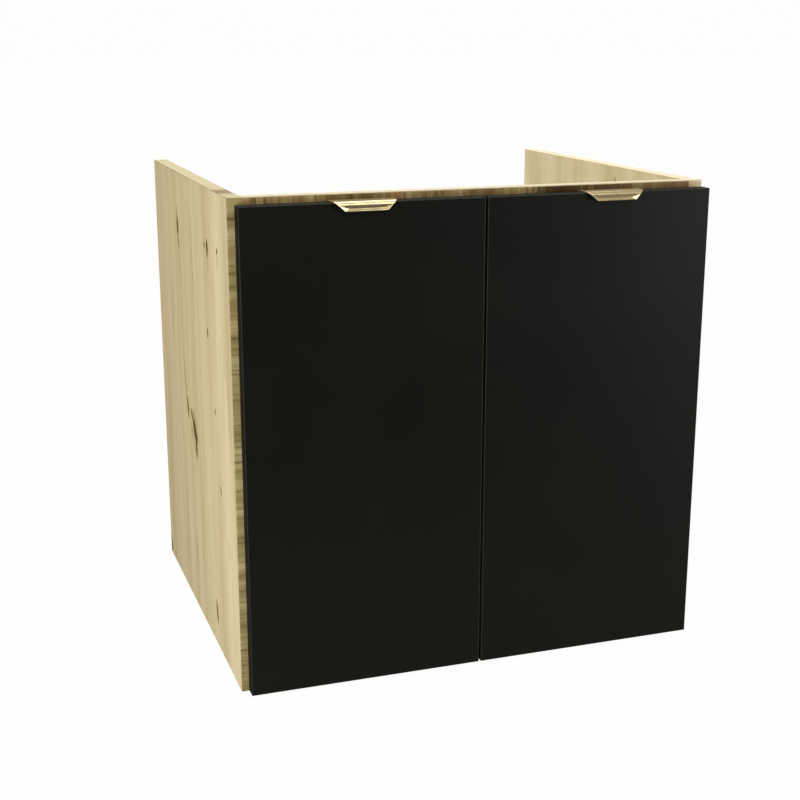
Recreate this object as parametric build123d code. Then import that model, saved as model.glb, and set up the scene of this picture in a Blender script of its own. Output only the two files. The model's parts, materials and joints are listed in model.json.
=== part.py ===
from build123d import *

import os

# A two-door sink base cabinet: an open-topped, open-backed box of melamine-faced board with a front
# rail on edge, two flat doors on single-joint cup hinges, an edge pull over each door's top edge and
# a pair of adjustable wall hangers.
#
# Frame: X to the right, Y to the rear, Z up, millimetres. The origin is the centre of the whole
# cabinet's footprint, at the height of its underside.

# ---------------------------------------------------------------- boards
CABINET_WIDTH = 600.0
CABINET_HEIGHT = 600.0
CABINET_DEPTH = 500.0
BOARD = 18.0
EDGING = 1.0
FRONT_RAIL_HEIGHT = 80.0
REAR_RAIL_HEIGHT = 100.0

# ---------------------------------------------------------------- doors
DOOR_THICKNESS = 18.0
DOOR_GAP = 3.5  # behind the doors
DOOR_ARRIS = 0.8  # eased front edges
DOOR_REAR_ARRIS = 0.5
LEFT_REVEAL = 8.0  # bare edge of the left side beside the left door
RIGHT_REVEAL = 1.0
TOP_REVEAL = 8.0
BOTTOM_REVEAL = 3.0
MIDDLE_GAP = 3.0
BUMPER_RADIUS = 4.0
BUMPER_HEIGHT = 3.2
BUMPER_ROUND = 1.0
BUMPER_INSET = 12.0

# ---------------------------------------------------------------- handles
SHEET = 1.5
HANDLE_REAR_WIDTH = 82.0
HANDLE_FRONT_WIDTH = 76.0  # where the plate bends down
LIP_RIM_WIDTH = 51.0
LIP_PAN_WIDTH = 40.0  # along the crease, between the folded corners
LIP_STANDOFF = 4.4  # the bend's sharp corner, in front of the door's face
LIP_LEAN = 0.9  # the crease, in front of that corner
LIP_DROP = 8.1  # the crease, below the plate's top
LIP_BEND = 5.8
RIM_REACH = 2.2  # the rim's edge, in front of the crease
RIM_DROP = 2.4
RIM_BEND = 1.2
CORNER_FOLD_DROP = 5.2  # where the folded corners start, below the plate's top
LEG_WIDTH = 60.0
LEG_HEIGHT = 22.0
LEG_BEND = 1.9
LEG_CORNER = 3.0
HANDLE_HOLE_SPACING = 32.0
HANDLE_HOLE_DROP = 13.0
LEFT_HANDLE_SHIFT = -0.5  # to the right of the door's centre line
RIGHT_HANDLE_SHIFT = 17.0
HANDLE_SCREW_RADIUS = 1.75
HANDLE_SCREW_HEAD = 3.1
HANDLE_SCREW_LENGTH = 14.0

# ---------------------------------------------------------------- board joints
CAM_RADIUS = 7.5
CAM_HEIGHT = 12.5
CAM_SETBACK = 34.0  # cam centre from the board's end
CAM_BORE_SPARE = 1.0
CAM_THROAT_BACK = 0.5  # the bolt's slot, past the cam's centre
CROSS_DEPTH = 2.4
CROSS_LENGTH = 8.0
CROSS_WIDTH = 1.6
BOLT_SHANK = 3.0
BOLT_THREAD = 2.5
BOLT_NECK = 2.0
BOLT_NECK_LENGTH = 5.0
BOLT_IN_SIDE = 11.0
DOWEL_RADIUS = 4.0
DOWEL_LENGTH = 34.0
DOWEL_IN_SIDE = 11.0
DOWEL_CHAMFER = 1.0
BORE_SPARE = 1.0  # free depth past the end of a dowel or bolt
FIT = 0.1  # radial play of glued and knocked-in pieces
PANEL_FIXING_INSET = 60.0
RAIL_FIXING_INSET = 24.0
FIXING_PITCH = 32.0

# ---------------------------------------------------------------- hinges
HINGE_DROP = 108.0  # upper hinge below the door's top
HINGE_RISE = 100.0  # lower hinge above the door's bottom
CUP_BORE_RADIUS = 17.5
CUP_BORE_DEPTH = 14.2
CUP_EDGE_DISTANCE = 4.0
CUP_RADIUS = 17.4
CUP_DEPTH = 14.0
CUP_WALL = 0.8
CUP_RIM_RADIUS = 18.5
CUP_RIM = 1.0
CUP_WING_LENGTH = 56.0
CUP_WING_WIDTH = 20.0
CUP_WING_CORNER = 5.0
CUP_SCREW_SPACING = 45.0
CUP_SCREW_OFFSET = 9.5
CUP_SCREW_RADIUS = 1.75
CUP_SCREW_HEAD = 3.6
CUP_SCREW_HEAD_HEIGHT = 1.2
CUP_SCREW_LENGTH = 12.0
PIVOT_INSET = 8.0  # pin axis from the door's outer edge
PIVOT_DEPTH = 10.8  # pin axis in front of the door's rear face
PIN_RADIUS = 1.2
PIN_PLAY = 0.05
KNUCKLE_RADIUS = 2.0
KNUCKLE_HALF_WIDTH = 5.2
EAR_PLAY = 0.3
EAR_THICKNESS = 1.5
ARM_SHEET = 1.6
ARM_INSET = 22.0  # arm's near face from the door's outer edge
ARM_FLOOR = 12.6  # arm's front face in front of the door's rear face
ARM_BEND = 3.0
ARM_REAR = 62.0
ARM_HALF_WIDTH = 8.0
CHEEK_START = 6.5
CHEEK_DEPTH = 3.0
CHEEK_SHEET = 1.4
PLATE_SETBACK = 37.0  # plate screws from the carcass front
PLATE_HOLE_SPACING = 32.0
PLATE_WING_WIDTH = 22.0
PLATE_WING_CORNER = 5.5
PLATE_LENGTH = 44.0
PLATE_CLEAR = 0.2
PLATE_BLOCK_LENGTH = 50.0
PLATE_SCREW_RADIUS = 2.4
PLATE_SCREW_HEAD = 4.5
PLATE_SCREW_HEAD_HEIGHT = 1.8
PLATE_SCREW_IN_SIDE = 12.0
ARM_SCREW_PITCH = 28.0
ARM_SCREW_RADIUS = 2.0
ARM_SCREW_HEAD = 3.6
ARM_SCREW_HEAD_HEIGHT = 1.6
ARM_SCREW_IN_PLATE = 2.0
SPRING_WIRE = 0.7
SPRING_HALF_SPAN = 3.5
SPRING_BACK = 35.0
SPRING_DEPTH_BACK = 6.0
SPRING_DEPTH_TIP = 9.0
SPRING_BEND = 2.0
SPRING_PLAY = 0.3
SPRING_POST = 3.0

# ---------------------------------------------------------------- wall hangers
HANGER_DROP = 70.0  # housing top below the cabinet's top
HANGER_HEIGHT = 62.0
HANGER_DEPTH = 58.0
HANGER_WIDTH = 17.0
HANGER_SETBACK = 7.0  # housing back from the cabinet's rear plane
HANGER_WALL = 2.0
HANGER_CORNER = 3.0
HANGER_FOOT = 15.2  # screw flange in front of the housing
HANGER_SCREW_INSET = 7.6
HOOK_SHEET = 3.0
HOOK_BAR = 14.0
HOOK_LENGTH = 44.0
HOOK_CLAW = 24.0
HOOK_CROSS = 9.4
HOOK_TIP_SETBACK = 2.0
HANGER_SCREW_SPACING = 32.0
HANGER_SCREW_RADIUS = 2.4
HANGER_SCREW_HEAD = 3.8
HANGER_SCREW_HEAD_HEIGHT = 1.8
HANGER_SCREW_IN_SIDE = 12.0
ADJUSTER_RADIUS = 3.0
ADJUSTER_LENGTH = 26.0
ADJUSTER_SPACING = 26.0

# ---------------------------------------------------------------- places worked out from the sizes
DOOR_FACE_DEPTH = DOOR_GAP + DOOR_THICKNESS
HANDLE_REACH = DOOR_FACE_DEPTH + LIP_STANDOFF + LIP_LEAN + RIM_REACH
CARCASS_FRONT = HANDLE_REACH - (CABINET_DEPTH + HANDLE_REACH) / 2
CARCASS_REAR = CARCASS_FRONT + CABINET_DEPTH
INNER_X = CABINET_WIDTH / 2 - BOARD
DOOR_REAR = CARCASS_FRONT - DOOR_GAP
DOOR_FACE = DOOR_REAR - DOOR_THICKNESS
DOOR_TOP = CABINET_HEIGHT - TOP_REVEAL
DOOR_BOTTOM = BOTTOM_REVEAL
DOOR_WIDTH = (CABINET_WIDTH - LEFT_REVEAL - RIGHT_REVEAL - MIDDLE_GAP) / 2
HINGE_HEIGHTS = {"upper": DOOR_TOP - HINGE_DROP, "lower": DOOR_BOTTOM + HINGE_RISE}
HAND = {"left": -1, "right": 1}
OUTER_EDGE = {
    "left": -CABINET_WIDTH / 2 + LEFT_REVEAL,
    "right": CABINET_WIDTH / 2 - RIGHT_REVEAL,
}
HANDLE_SHIFT = {"left": LEFT_HANDLE_SHIFT, "right": RIGHT_HANDLE_SHIFT}
HANDLE_X = {
    side: OUTER_EDGE[side] - hand * DOOR_WIDTH / 2 + HANDLE_SHIFT[side] for side, hand in HAND.items()
}
BOTTOM_ALIGN = (Align.CENTER, Align.CENTER, Align.MIN)


def block(x0, x1, y0, y1, z0, z1):
    """A box between two opposite corners, given in any order along X."""
    size = (abs(x1 - x0), abs(y1 - y0), abs(z1 - z0))
    return Pos((x0 + x1) / 2, (y0 + y1) / 2, (z0 + z1) / 2) * Box(*size)


def rod(start, direction, radius, length):
    """A cylinder that leaves start along direction."""
    return Plane(origin=start, z_dir=direction) * Cylinder(radius, length, align=BOTTOM_ALIGN)


def turned(start, direction, steps):
    """A turned piece along direction from start, made of (radius, length) steps."""
    piece = None
    offset = 0.0
    for radius, length in steps:
        at = Vector(*start) + Vector(*direction).normalized() * offset
        step = rod(at, direction, radius, length)
        piece = step if piece is None else piece + step
        offset += length
    return piece


def write(node, shape):
    """Writes one node's solids to its own STEP file."""
    export_step(shape, os.path.join("parts", node + ".step"))


# ---------------------------------------------------------------- board joints
def panel_fixings():
    """Cam places at the ends of the bottom panel: (y, z, way from the bolt to the bored face)."""
    z = BOARD / 2
    return [
        (CARCASS_FRONT + PANEL_FIXING_INSET, z, (0, 0, -1)),
        (CARCASS_REAR - PANEL_FIXING_INSET, z, (0, 0, -1)),
    ]


def panel_dowels():
    """Dowel places at the ends of the bottom panel."""
    return [(y + step * FIXING_PITCH, z) for (y, z, _), step in zip(panel_fixings(), (1, -1))]


def front_rail_fixings():
    """The cam place at each end of the front rail."""
    z = CABINET_HEIGHT - RAIL_FIXING_INSET
    return [(CARCASS_FRONT + BOARD / 2, z, (0, 1, 0))]


def rear_rail_fixings():
    """The cam place at each end of the rear rail."""
    z = BOARD + REAR_RAIL_HEIGHT - RAIL_FIXING_INSET
    return [(CARCASS_REAR - BOARD / 2, z, (0, -1, 0))]


def rail_dowels(fixings):
    """One dowel a pitch below each cam of a rail."""
    return [(y, z - FIXING_PITCH) for y, z, _ in fixings]


def all_fixings():
    """Every cam place on one side of the cabinet."""
    return panel_fixings() + front_rail_fixings() + rear_rail_fixings()


def all_dowels():
    """Every dowel place on one side of the cabinet."""
    return panel_dowels() + rail_dowels(front_rail_fixings()) + rail_dowels(rear_rail_fixings())


def end_bores(fixings, dowels):
    """Cuts in both ends of a board: bolt bores, cam bores and dowel bores."""
    cuts = []
    for hand in HAND.values():
        inward = (-hand, 0, 0)
        for y, z, way in fixings:
            cuts.append(rod((hand * INNER_X, y, z), inward, BOLT_SHANK + FIT, CAM_SETBACK))
            back = Vector(*way) * (BOARD / 2)
            centre = Vector(hand * (INNER_X - CAM_SETBACK), y, z)
            depth = CAM_HEIGHT + CAM_BORE_SPARE
            cuts.append(rod(centre + back, tuple(-w for w in way), CAM_RADIUS + FIT, depth))
        for y, z in dowels:
            depth = DOWEL_LENGTH - DOWEL_IN_SIDE + BORE_SPARE
            cuts.append(rod((hand * INNER_X, y, z), inward, DOWEL_RADIUS + FIT, depth))
    return cuts


def cam_locks():
    """Slotted cam discs, one for each bolt, flush with the bored face."""
    locks = []
    for hand in HAND.values():
        for y, z, way in all_fixings():
            centre = Vector(hand * (INNER_X - CAM_SETBACK), y, z)
            face = centre + Vector(*way) * (BOARD / 2)
            disc = rod(face, tuple(-w for w in way), CAM_RADIUS, CAM_HEIGHT)
            throat = BOLT_NECK + 2 * FIT
            reach = CAM_RADIUS * 2
            slot = rod(centre - Vector(hand * CAM_THROAT_BACK, 0, 0), (hand, 0, 0), throat, reach)
            locks.append(disc - slot - cross_recess(face, way))
    return Compound(children=locks)


def cross_recess(face, way):
    """The screwdriver cross in a cam's face."""
    plane = Plane(origin=face, z_dir=way, x_dir=(1, 0, 0))
    depth = 2 * CROSS_DEPTH
    bars = Box(CROSS_LENGTH, CROSS_WIDTH, depth) + Box(CROSS_WIDTH, CROSS_LENGTH, depth)
    return plane * bars


def connecting_bolts():
    """Bolts screwed into the sides, with a neck that the cam pulls on."""
    bolts = []
    for hand in HAND.values():
        for y, z, _ in all_fixings():
            start = (hand * (INNER_X + BOLT_IN_SIDE), y, z)
            shank = CAM_SETBACK - CAM_RADIUS - FIT
            steps = [
                (BOLT_THREAD, BOLT_IN_SIDE),
                (BOLT_SHANK, shank),
                (BOLT_NECK, BOLT_NECK_LENGTH),
            ]
            bolts.append(turned(start, (-hand, 0, 0), steps))
    return Compound(children=bolts)


def wooden_dowels():
    """Round dowels with chamfered ends."""
    dowels = []
    for hand in HAND.values():
        for y, z in all_dowels():
            start = (hand * (INNER_X + DOWEL_IN_SIDE), y, z)
            dowel = rod(start, (-hand, 0, 0), DOWEL_RADIUS, DOWEL_LENGTH)
            ends = dowel.edges().filter_by(GeomType.CIRCLE)
            dowels.append(chamfer(ends, DOWEL_CHAMFER))
    return Compound(children=dowels)


# ---------------------------------------------------------------- carcass boards
def side_panel(side):
    """A side's board without its edging, bored on its inner face."""
    hand = HAND[side]
    panel = block(
        hand * INNER_X, hand * CABINET_WIDTH / 2,
        CARCASS_FRONT + EDGING, CARCASS_REAR - EDGING,
        EDGING, CABINET_HEIGHT - EDGING,
    )
    outward = (hand, 0, 0)
    for y, z, _ in all_fixings():
        depth = BOLT_IN_SIDE + BORE_SPARE
        panel -= rod((hand * INNER_X, y, z), outward, BOLT_THREAD + FIT, depth)
    for y, z in all_dowels():
        depth = DOWEL_IN_SIDE + BORE_SPARE
        panel -= rod((hand * INNER_X, y, z), outward, DOWEL_RADIUS + FIT, depth)
    for y, z in plate_screw_places() + hanger_screw_places():
        depth = PLATE_SCREW_IN_SIDE + BORE_SPARE
        panel -= rod((hand * INNER_X, y, z), outward, PLATE_SCREW_RADIUS + FIT, depth)
    return panel


def side_edging(side):
    """The strips glued round a side: front and rear full height, top and bottom between them."""
    hand = HAND[side]
    x0, x1 = hand * INNER_X, hand * CABINET_WIDTH / 2
    front, rear = CARCASS_FRONT, CARCASS_REAR
    top = CABINET_HEIGHT
    strips = [
        block(x0, x1, front, front + EDGING, 0, top),
        block(x0, x1, rear - EDGING, rear, 0, top),
        block(x0, x1, front + EDGING, rear - EDGING, top - EDGING, top),
        block(x0, x1, front + EDGING, rear - EDGING, 0, EDGING),
    ]
    return Compound(children=strips)


def bottom_panel():
    """The bottom board, edged at the front, with bores in its underside and ends."""
    panel = block(-INNER_X, INNER_X, CARCASS_FRONT + EDGING, CARCASS_REAR, 0, BOARD)
    for cut in end_bores(panel_fixings(), panel_dowels()):
        panel -= cut
    return panel


def front_rail():
    """The rail on edge under the basin's front, edged top and bottom."""
    bottom = CABINET_HEIGHT - FRONT_RAIL_HEIGHT
    rail = block(
        -INNER_X, INNER_X,
        CARCASS_FRONT, CARCASS_FRONT + BOARD,
        bottom + EDGING, CABINET_HEIGHT - EDGING,
    )
    for cut in end_bores(front_rail_fixings(), rail_dowels(front_rail_fixings())):
        rail -= cut
    return rail


def rear_rail():
    """The low rail at the rear, standing on the bottom panel, edged along its top."""
    rail = block(
        -INNER_X, INNER_X,
        CARCASS_REAR - BOARD, CARCASS_REAR,
        BOARD, BOARD + REAR_RAIL_HEIGHT - EDGING,
    )
    for cut in end_bores(rear_rail_fixings(), rail_dowels(rear_rail_fixings())):
        rail -= cut
    return rail


def bottom_edging():
    """The strip on the bottom panel's front edge."""
    return block(-INNER_X, INNER_X, CARCASS_FRONT, CARCASS_FRONT + EDGING, 0, BOARD)


def front_rail_edging():
    """The strips on the front rail's top and bottom edges."""
    y0, y1 = CARCASS_FRONT, CARCASS_FRONT + BOARD
    bottom = CABINET_HEIGHT - FRONT_RAIL_HEIGHT
    strips = [
        block(-INNER_X, INNER_X, y0, y1, CABINET_HEIGHT - EDGING, CABINET_HEIGHT),
        block(-INNER_X, INNER_X, y0, y1, bottom, bottom + EDGING),
    ]
    return Compound(children=strips)


def rear_rail_edging():
    """The strip on the rear rail's top edge."""
    top = BOARD + REAR_RAIL_HEIGHT
    return block(-INNER_X, INNER_X, CARCASS_REAR - BOARD, CARCASS_REAR, top - EDGING, top)


# ---------------------------------------------------------------- hinges
# A hinge is laid out in its door's own terms: u runs inwards from the door's outer edge, w runs
# rearwards from the door's rear face, and z is the height above the hinge's middle.
def hinge_place(side, height):
    """The plane that carries (u, w) sketches of a hinge at a height, with u inwards."""
    hand = HAND[side]
    origin = (OUTER_EDGE[side], DOOR_REAR, height)
    return Plane(origin=origin, x_dir=(-hand, 0, 0), z_dir=(0, 0, -hand))


def hinge_point(side, u, w, z):
    """A point of a hinge in the cabinet's frame."""
    return Vector(OUTER_EDGE[side] - HAND[side] * u, DOOR_REAR + w, z)


def hinge_block(side, height, u0, u1, w0, w1, z0, z1):
    """A box given in a hinge's own terms."""
    low = hinge_point(side, u0, w0, height + z0)
    high = hinge_point(side, u1, w1, height + z1)
    return block(low.X, high.X, low.Y, high.Y, low.Z, high.Z)


def cup_centre():
    """The cup's centre, inwards from the door's outer edge."""
    return CUP_EDGE_DISTANCE + CUP_BORE_RADIUS


def cup_screw_places(side):
    """The cup screws' places on one door's rear face."""
    u = cup_centre() + CUP_SCREW_OFFSET
    return [
        hinge_point(side, u, 0, height + step * CUP_SCREW_SPACING / 2)
        for height in HINGE_HEIGHTS.values()
        for step in (-1, 1)
    ]


def plate_screw_places():
    """The mounting plates' screw places on a side: (y, z)."""
    return [
        (CARCASS_FRONT + PLATE_SETBACK, height + step * PLATE_HOLE_SPACING / 2)
        for height in HINGE_HEIGHTS.values()
        for step in (-1, 1)
    ]


def side_face(side):
    """The side panel's inner face, in the hinge's own u."""
    return HAND[side] * (OUTER_EDGE[side] - HAND[side] * INNER_X)


def hinge_cup(side, height):
    """The pressed cup in the door: rim, screw wings, ears for the pin and the spring's post."""
    centre = hinge_point(side, cup_centre(), 0, height)
    forward = (0, -1, 0)
    cup = rod(centre, forward, CUP_RADIUS, CUP_DEPTH)
    cup += rod(centre, (0, 1, 0), CUP_RIM_RADIUS, CUP_RIM)
    wing_u = cup_centre() + CUP_SCREW_OFFSET
    half = CUP_WING_LENGTH / 2
    wings = hinge_block(
        side, height,
        wing_u - CUP_WING_WIDTH / 2, wing_u + CUP_WING_WIDTH / 2, 0, CUP_RIM, -half, half,
    )
    cup += fillet(wings.edges().filter_by(Axis.Y), CUP_WING_CORNER)
    hollow = CUP_RADIUS - CUP_WALL
    mouth = centre + Vector(0, CUP_RIM, 0)
    cup -= rod(mouth, forward, hollow, CUP_RIM + CUP_DEPTH - CUP_WALL)
    floor = CUP_WALL - CUP_DEPTH
    near = KNUCKLE_HALF_WIDTH + EAR_PLAY
    for step in (-1, 1):
        ear = hinge_block(
            side, height,
            PIVOT_INSET - KNUCKLE_RADIUS, PIVOT_INSET + KNUCKLE_RADIUS,
            floor, KNUCKLE_RADIUS - PIVOT_DEPTH,
            step * near, step * (near + EAR_THICKNESS),
        )
        cup += ear
        hole = hinge_point(side, wing_u, CUP_RIM, height + step * CUP_SCREW_SPACING / 2)
        cup -= rod(hole, forward, CUP_SCREW_RADIUS + FIT, CUP_RIM)
    post_u = SPRING_BACK - SPRING_WIRE - SPRING_PLAY
    post_half = SPRING_HALF_SPAN - SPRING_WIRE - SPRING_PLAY
    cup += hinge_block(
        side, height, post_u - SPRING_POST, post_u, floor, SPRING_WIRE - SPRING_DEPTH_BACK,
        -post_half, post_half,
    )
    pin_start = hinge_point(side, PIVOT_INSET, -PIVOT_DEPTH, height - near - EAR_THICKNESS)
    return cup - rod(pin_start, (0, 0, 1), PIN_RADIUS, 2 * (near + EAR_THICKNESS))


def hinge_pins(side):
    """The two hinge pins of a door, riveted in their cups' ears."""
    half = KNUCKLE_HALF_WIDTH + EAR_PLAY + EAR_THICKNESS
    pins = []
    for height in HINGE_HEIGHTS.values():
        start = hinge_point(side, PIVOT_INSET, -PIVOT_DEPTH, height - half)
        pins.append(rod(start, (0, 0, 1), PIN_RADIUS, 2 * half))
    return Compound(children=pins)


def arm_profile():
    """The hooked strip of an arm in (u, w): knuckle, floor run and the run to the rear."""
    near, far = ARM_INSET, ARM_INSET + ARM_SHEET
    front = -ARM_FLOOR
    floor_run = Pos((PIVOT_INSET + far) / 2, front + ARM_SHEET / 2) * Rectangle(
        far - PIVOT_INSET, ARM_SHEET
    )
    rear_run = Pos((near + far) / 2, (front + ARM_REAR) / 2) * Rectangle(
        ARM_SHEET, ARM_REAR - front
    )
    strip = floor_run + rear_run
    outer = strip.vertices().sort_by_distance((far, front, 0))[0]
    strip = fillet(outer, ARM_BEND)
    inner = strip.vertices().sort_by_distance((near, front + ARM_SHEET, 0))[0]
    strip = fillet(inner, ARM_BEND - ARM_SHEET)
    return strip + Pos(PIVOT_INSET, -PIVOT_DEPTH) * Circle(KNUCKLE_RADIUS)


def arm_screw_places():
    """The arm screws' places along an arm, rearwards from the door's rear face."""
    middle = DOOR_GAP + PLATE_SETBACK
    return [middle - ARM_SCREW_PITCH / 2, middle + ARM_SCREW_PITCH / 2]


def hinge_arm(side, height):
    """The bent arm: a hook that reaches into the cup and a channel that sits over the plate."""
    place = hinge_place(side, height)
    hook = extrude(place * arm_profile(), KNUCKLE_HALF_WIDTH, both=True)
    far = ARM_INSET + ARM_SHEET
    web = hinge_block(
        side, height, ARM_INSET, far, CHEEK_START, ARM_REAR, -ARM_HALF_WIDTH, ARM_HALF_WIDTH
    )
    arm = hook + web
    for step in (-1, 1):
        arm += hinge_block(
            side, height, ARM_INSET - CHEEK_DEPTH, far, CHEEK_START, ARM_REAR,
            step * (ARM_HALF_WIDTH - CHEEK_SHEET), step * ARM_HALF_WIDTH,
        )
    bore = hinge_point(side, PIVOT_INSET, -PIVOT_DEPTH, height - ARM_HALF_WIDTH)
    arm -= rod(bore, (0, 0, 1), PIN_RADIUS + PIN_PLAY, 2 * ARM_HALF_WIDTH)
    for w in arm_screw_places():
        start = hinge_point(side, ARM_INSET, w, height)
        arm -= rod(start, (-HAND[side], 0, 0), ARM_SCREW_RADIUS + FIT, ARM_SHEET)
    return arm


def hinge_plate(side, height):
    """The mounting plate: two screw wings and a block that the arm's channel sits over."""
    face = side_face(side)
    top = ARM_INSET - CHEEK_DEPTH - PLATE_CLEAR
    middle = DOOR_GAP + PLATE_SETBACK
    half = PLATE_LENGTH / 2
    wings = hinge_block(
        side, height, face, top,
        middle - PLATE_WING_WIDTH / 2, middle + PLATE_WING_WIDTH / 2, -half, half,
    )
    wings = fillet(wings.edges().filter_by(Axis.X), PLATE_WING_CORNER)
    block_half = ARM_HALF_WIDTH - CHEEK_SHEET - PLATE_CLEAR
    body = hinge_block(
        side, height, face, ARM_INSET,
        middle - PLATE_BLOCK_LENGTH / 2, middle + ARM_SCREW_PITCH / 2 + ARM_SCREW_HEAD,
        -block_half, block_half,
    )
    plate = wings + body
    inward = (-HAND[side], 0, 0)
    for step in (-1, 1):
        z = height + step * PLATE_HOLE_SPACING / 2
        hole = hinge_point(side, face, middle, z)
        plate -= rod(hole, inward, PLATE_SCREW_RADIUS + FIT, top - face)
    for w in arm_screw_places():
        hole = hinge_point(side, ARM_INSET - ARM_SCREW_IN_PLATE, w, height)
        plate -= rod(hole, inward, ARM_SCREW_RADIUS + FIT, ARM_SCREW_IN_PLATE)
    return plate


def hinge_plate_screws():
    """The screws that hold the mounting plates to the sides."""
    top = ARM_INSET - CHEEK_DEPTH - PLATE_CLEAR
    screws = []
    for side, hand in HAND.items():
        for y, z in plate_screw_places():
            head = hinge_point(side, top + PLATE_SCREW_HEAD_HEIGHT, 0, z)
            shank = top - side_face(side) + PLATE_SCREW_IN_SIDE
            steps = [
                (PLATE_SCREW_HEAD, PLATE_SCREW_HEAD_HEIGHT),
                (PLATE_SCREW_RADIUS, shank),
            ]
            screws.append(turned((head.X, y, z), (hand, 0, 0), steps))
    return Compound(children=screws)


def hinge_arm_screws():
    """The adjusting and clamping screws through the arms."""
    screws = []
    top = ARM_INSET + ARM_SHEET
    for side, hand in HAND.items():
        for height in HINGE_HEIGHTS.values():
            for w in arm_screw_places():
                start = hinge_point(side, top + ARM_SCREW_HEAD_HEIGHT, w, height)
                steps = [
                    (ARM_SCREW_HEAD, ARM_SCREW_HEAD_HEIGHT),
                    (ARM_SCREW_RADIUS, ARM_SHEET + ARM_SCREW_IN_PLATE),
                ]
                screws.append(turned(start, (hand, 0, 0), steps))
    return Compound(children=screws)


def cup_screws(side):
    """The wood screws that hold one door's cups."""
    screws = []
    for place in cup_screw_places(side):
        start = place + Vector(0, CUP_RIM + CUP_SCREW_HEAD_HEIGHT, 0)
        steps = [
            (CUP_SCREW_HEAD, CUP_SCREW_HEAD_HEIGHT),
            (CUP_SCREW_RADIUS, CUP_RIM + CUP_SCREW_LENGTH),
        ]
        screws.append(turned(start, (0, -1, 0), steps))
    return Compound(children=screws)


def hinge_springs(side):
    """The U-shaped closing wires, hooked round their posts in the cups."""
    springs = []
    for height in HINGE_HEIGHTS.values():
        tip_u = ARM_INSET + ARM_SHEET + SPRING_WIRE + SPRING_PLAY
        corners = [
            (tip_u, -SPRING_DEPTH_TIP, -SPRING_HALF_SPAN),
            (SPRING_BACK, -SPRING_DEPTH_BACK, -SPRING_HALF_SPAN),
            (SPRING_BACK, -SPRING_DEPTH_BACK, SPRING_HALF_SPAN),
            (tip_u, -SPRING_DEPTH_TIP, SPRING_HALF_SPAN),
        ]
        route = FilletPolyline(
            *[hinge_point(side, u, w, height + z) for u, w, z in corners], radius=SPRING_BEND
        )
        start = Plane(origin=route @ 0, z_dir=route % 0)
        springs.append(sweep(start * Circle(SPRING_WIRE), path=route))
    return Compound(children=springs)


# ---------------------------------------------------------------- doors
def door_span(side):
    """A door's left and right edges."""
    outer = OUTER_EDGE[side]
    inner = outer - HAND[side] * DOOR_WIDTH
    return min(outer, inner), max(outer, inner)


def door(side):
    """A door's board without its edging, bored for its two cups and every screw in its rear face."""
    x0, x1 = door_span(side)
    leaf = block(
        x0 + EDGING, x1 - EDGING, DOOR_FACE, DOOR_REAR, DOOR_BOTTOM + EDGING, DOOR_TOP - EDGING
    )
    forward = (0, -1, 0)
    for height in HINGE_HEIGHTS.values():
        centre = hinge_point(side, cup_centre(), 0, height)
        leaf -= rod(centre, forward, CUP_BORE_RADIUS, CUP_BORE_DEPTH)
    for place in cup_screw_places(side):
        leaf -= rod(place, forward, CUP_SCREW_RADIUS + FIT, CUP_SCREW_LENGTH + BORE_SPARE)
    for place in handle_screw_places(side):
        leaf -= rod(place, forward, HANDLE_SCREW_RADIUS + FIT, HANDLE_SCREW_LENGTH)
    return leaf


def door_edging(side):
    """The strips glued round a door, with eased arrises: sides full height, ends between them."""
    x0, x1 = door_span(side)
    leaf = block(x0, x1, DOOR_FACE, DOOR_REAR, DOOR_BOTTOM, DOOR_TOP)
    leaf = fillet(leaf.faces().sort_by(Axis.Y)[0].edges(), DOOR_ARRIS)
    leaf = fillet(leaf.faces().sort_by(Axis.Y)[-1].edges(), DOOR_REAR_ARRIS)
    spans = [
        (x0, x0 + EDGING, DOOR_BOTTOM, DOOR_TOP),
        (x1 - EDGING, x1, DOOR_BOTTOM, DOOR_TOP),
        (x0 + EDGING, x1 - EDGING, DOOR_BOTTOM, DOOR_BOTTOM + EDGING),
        (x0 + EDGING, x1 - EDGING, DOOR_TOP - EDGING, DOOR_TOP),
    ]
    strips = [leaf & block(a, b, DOOR_FACE, DOOR_REAR, low, high) for a, b, low, high in spans]
    return Compound(children=strips)


def door_bumpers(side):
    """Soft pads behind a door's free edge, one on the rail and one on the bottom panel's edge."""
    x = OUTER_EDGE[side] - HAND[side] * (DOOR_WIDTH - BUMPER_INSET)
    bottom = (DOOR_BOTTOM + BOARD) / 2
    pads = []
    for z in (bottom, CABINET_HEIGHT - FRONT_RAIL_HEIGHT + BUMPER_INSET):
        pad = rod((x, DOOR_REAR, z), (0, 1, 0), BUMPER_RADIUS, BUMPER_HEIGHT)
        rim = pad.faces().sort_by(Axis.Y)[-1].edges()
        pads.append(fillet(rim, BUMPER_ROUND))
    return Compound(children=pads)


# ---------------------------------------------------------------- handles
def handle_screw_places(side):
    """A handle's screw places on its door's rear face."""
    z = DOOR_TOP + SHEET - HANDLE_HOLE_DROP
    half = HANDLE_HOLE_SPACING / 2
    return [Vector(HANDLE_X[side] + step * half, DOOR_REAR, z) for step in (-1, 1)]


def handle_section():
    """The bent sheet's section in (y, z), from the leg's foot over the door's top to the lip's rim."""
    top = DOOR_TOP + SHEET
    rear = DOOR_REAR + SHEET
    fold = DOOR_FACE - LIP_STANDOFF
    crease = fold - LIP_LEAN
    line = FilletPolyline(
        (rear, top - LEG_HEIGHT),
        (rear, top),
        (fold, top),
        (crease, top - LIP_DROP),
        (crease - RIM_REACH, top - LIP_DROP - RIM_DROP),
        radius=[LEG_BEND, LIP_BEND, RIM_BEND],
    )
    return make_face(offset(line, amount=SHEET, side=Side.LEFT, kind=Kind.INTERSECTION, closed=True))


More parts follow.
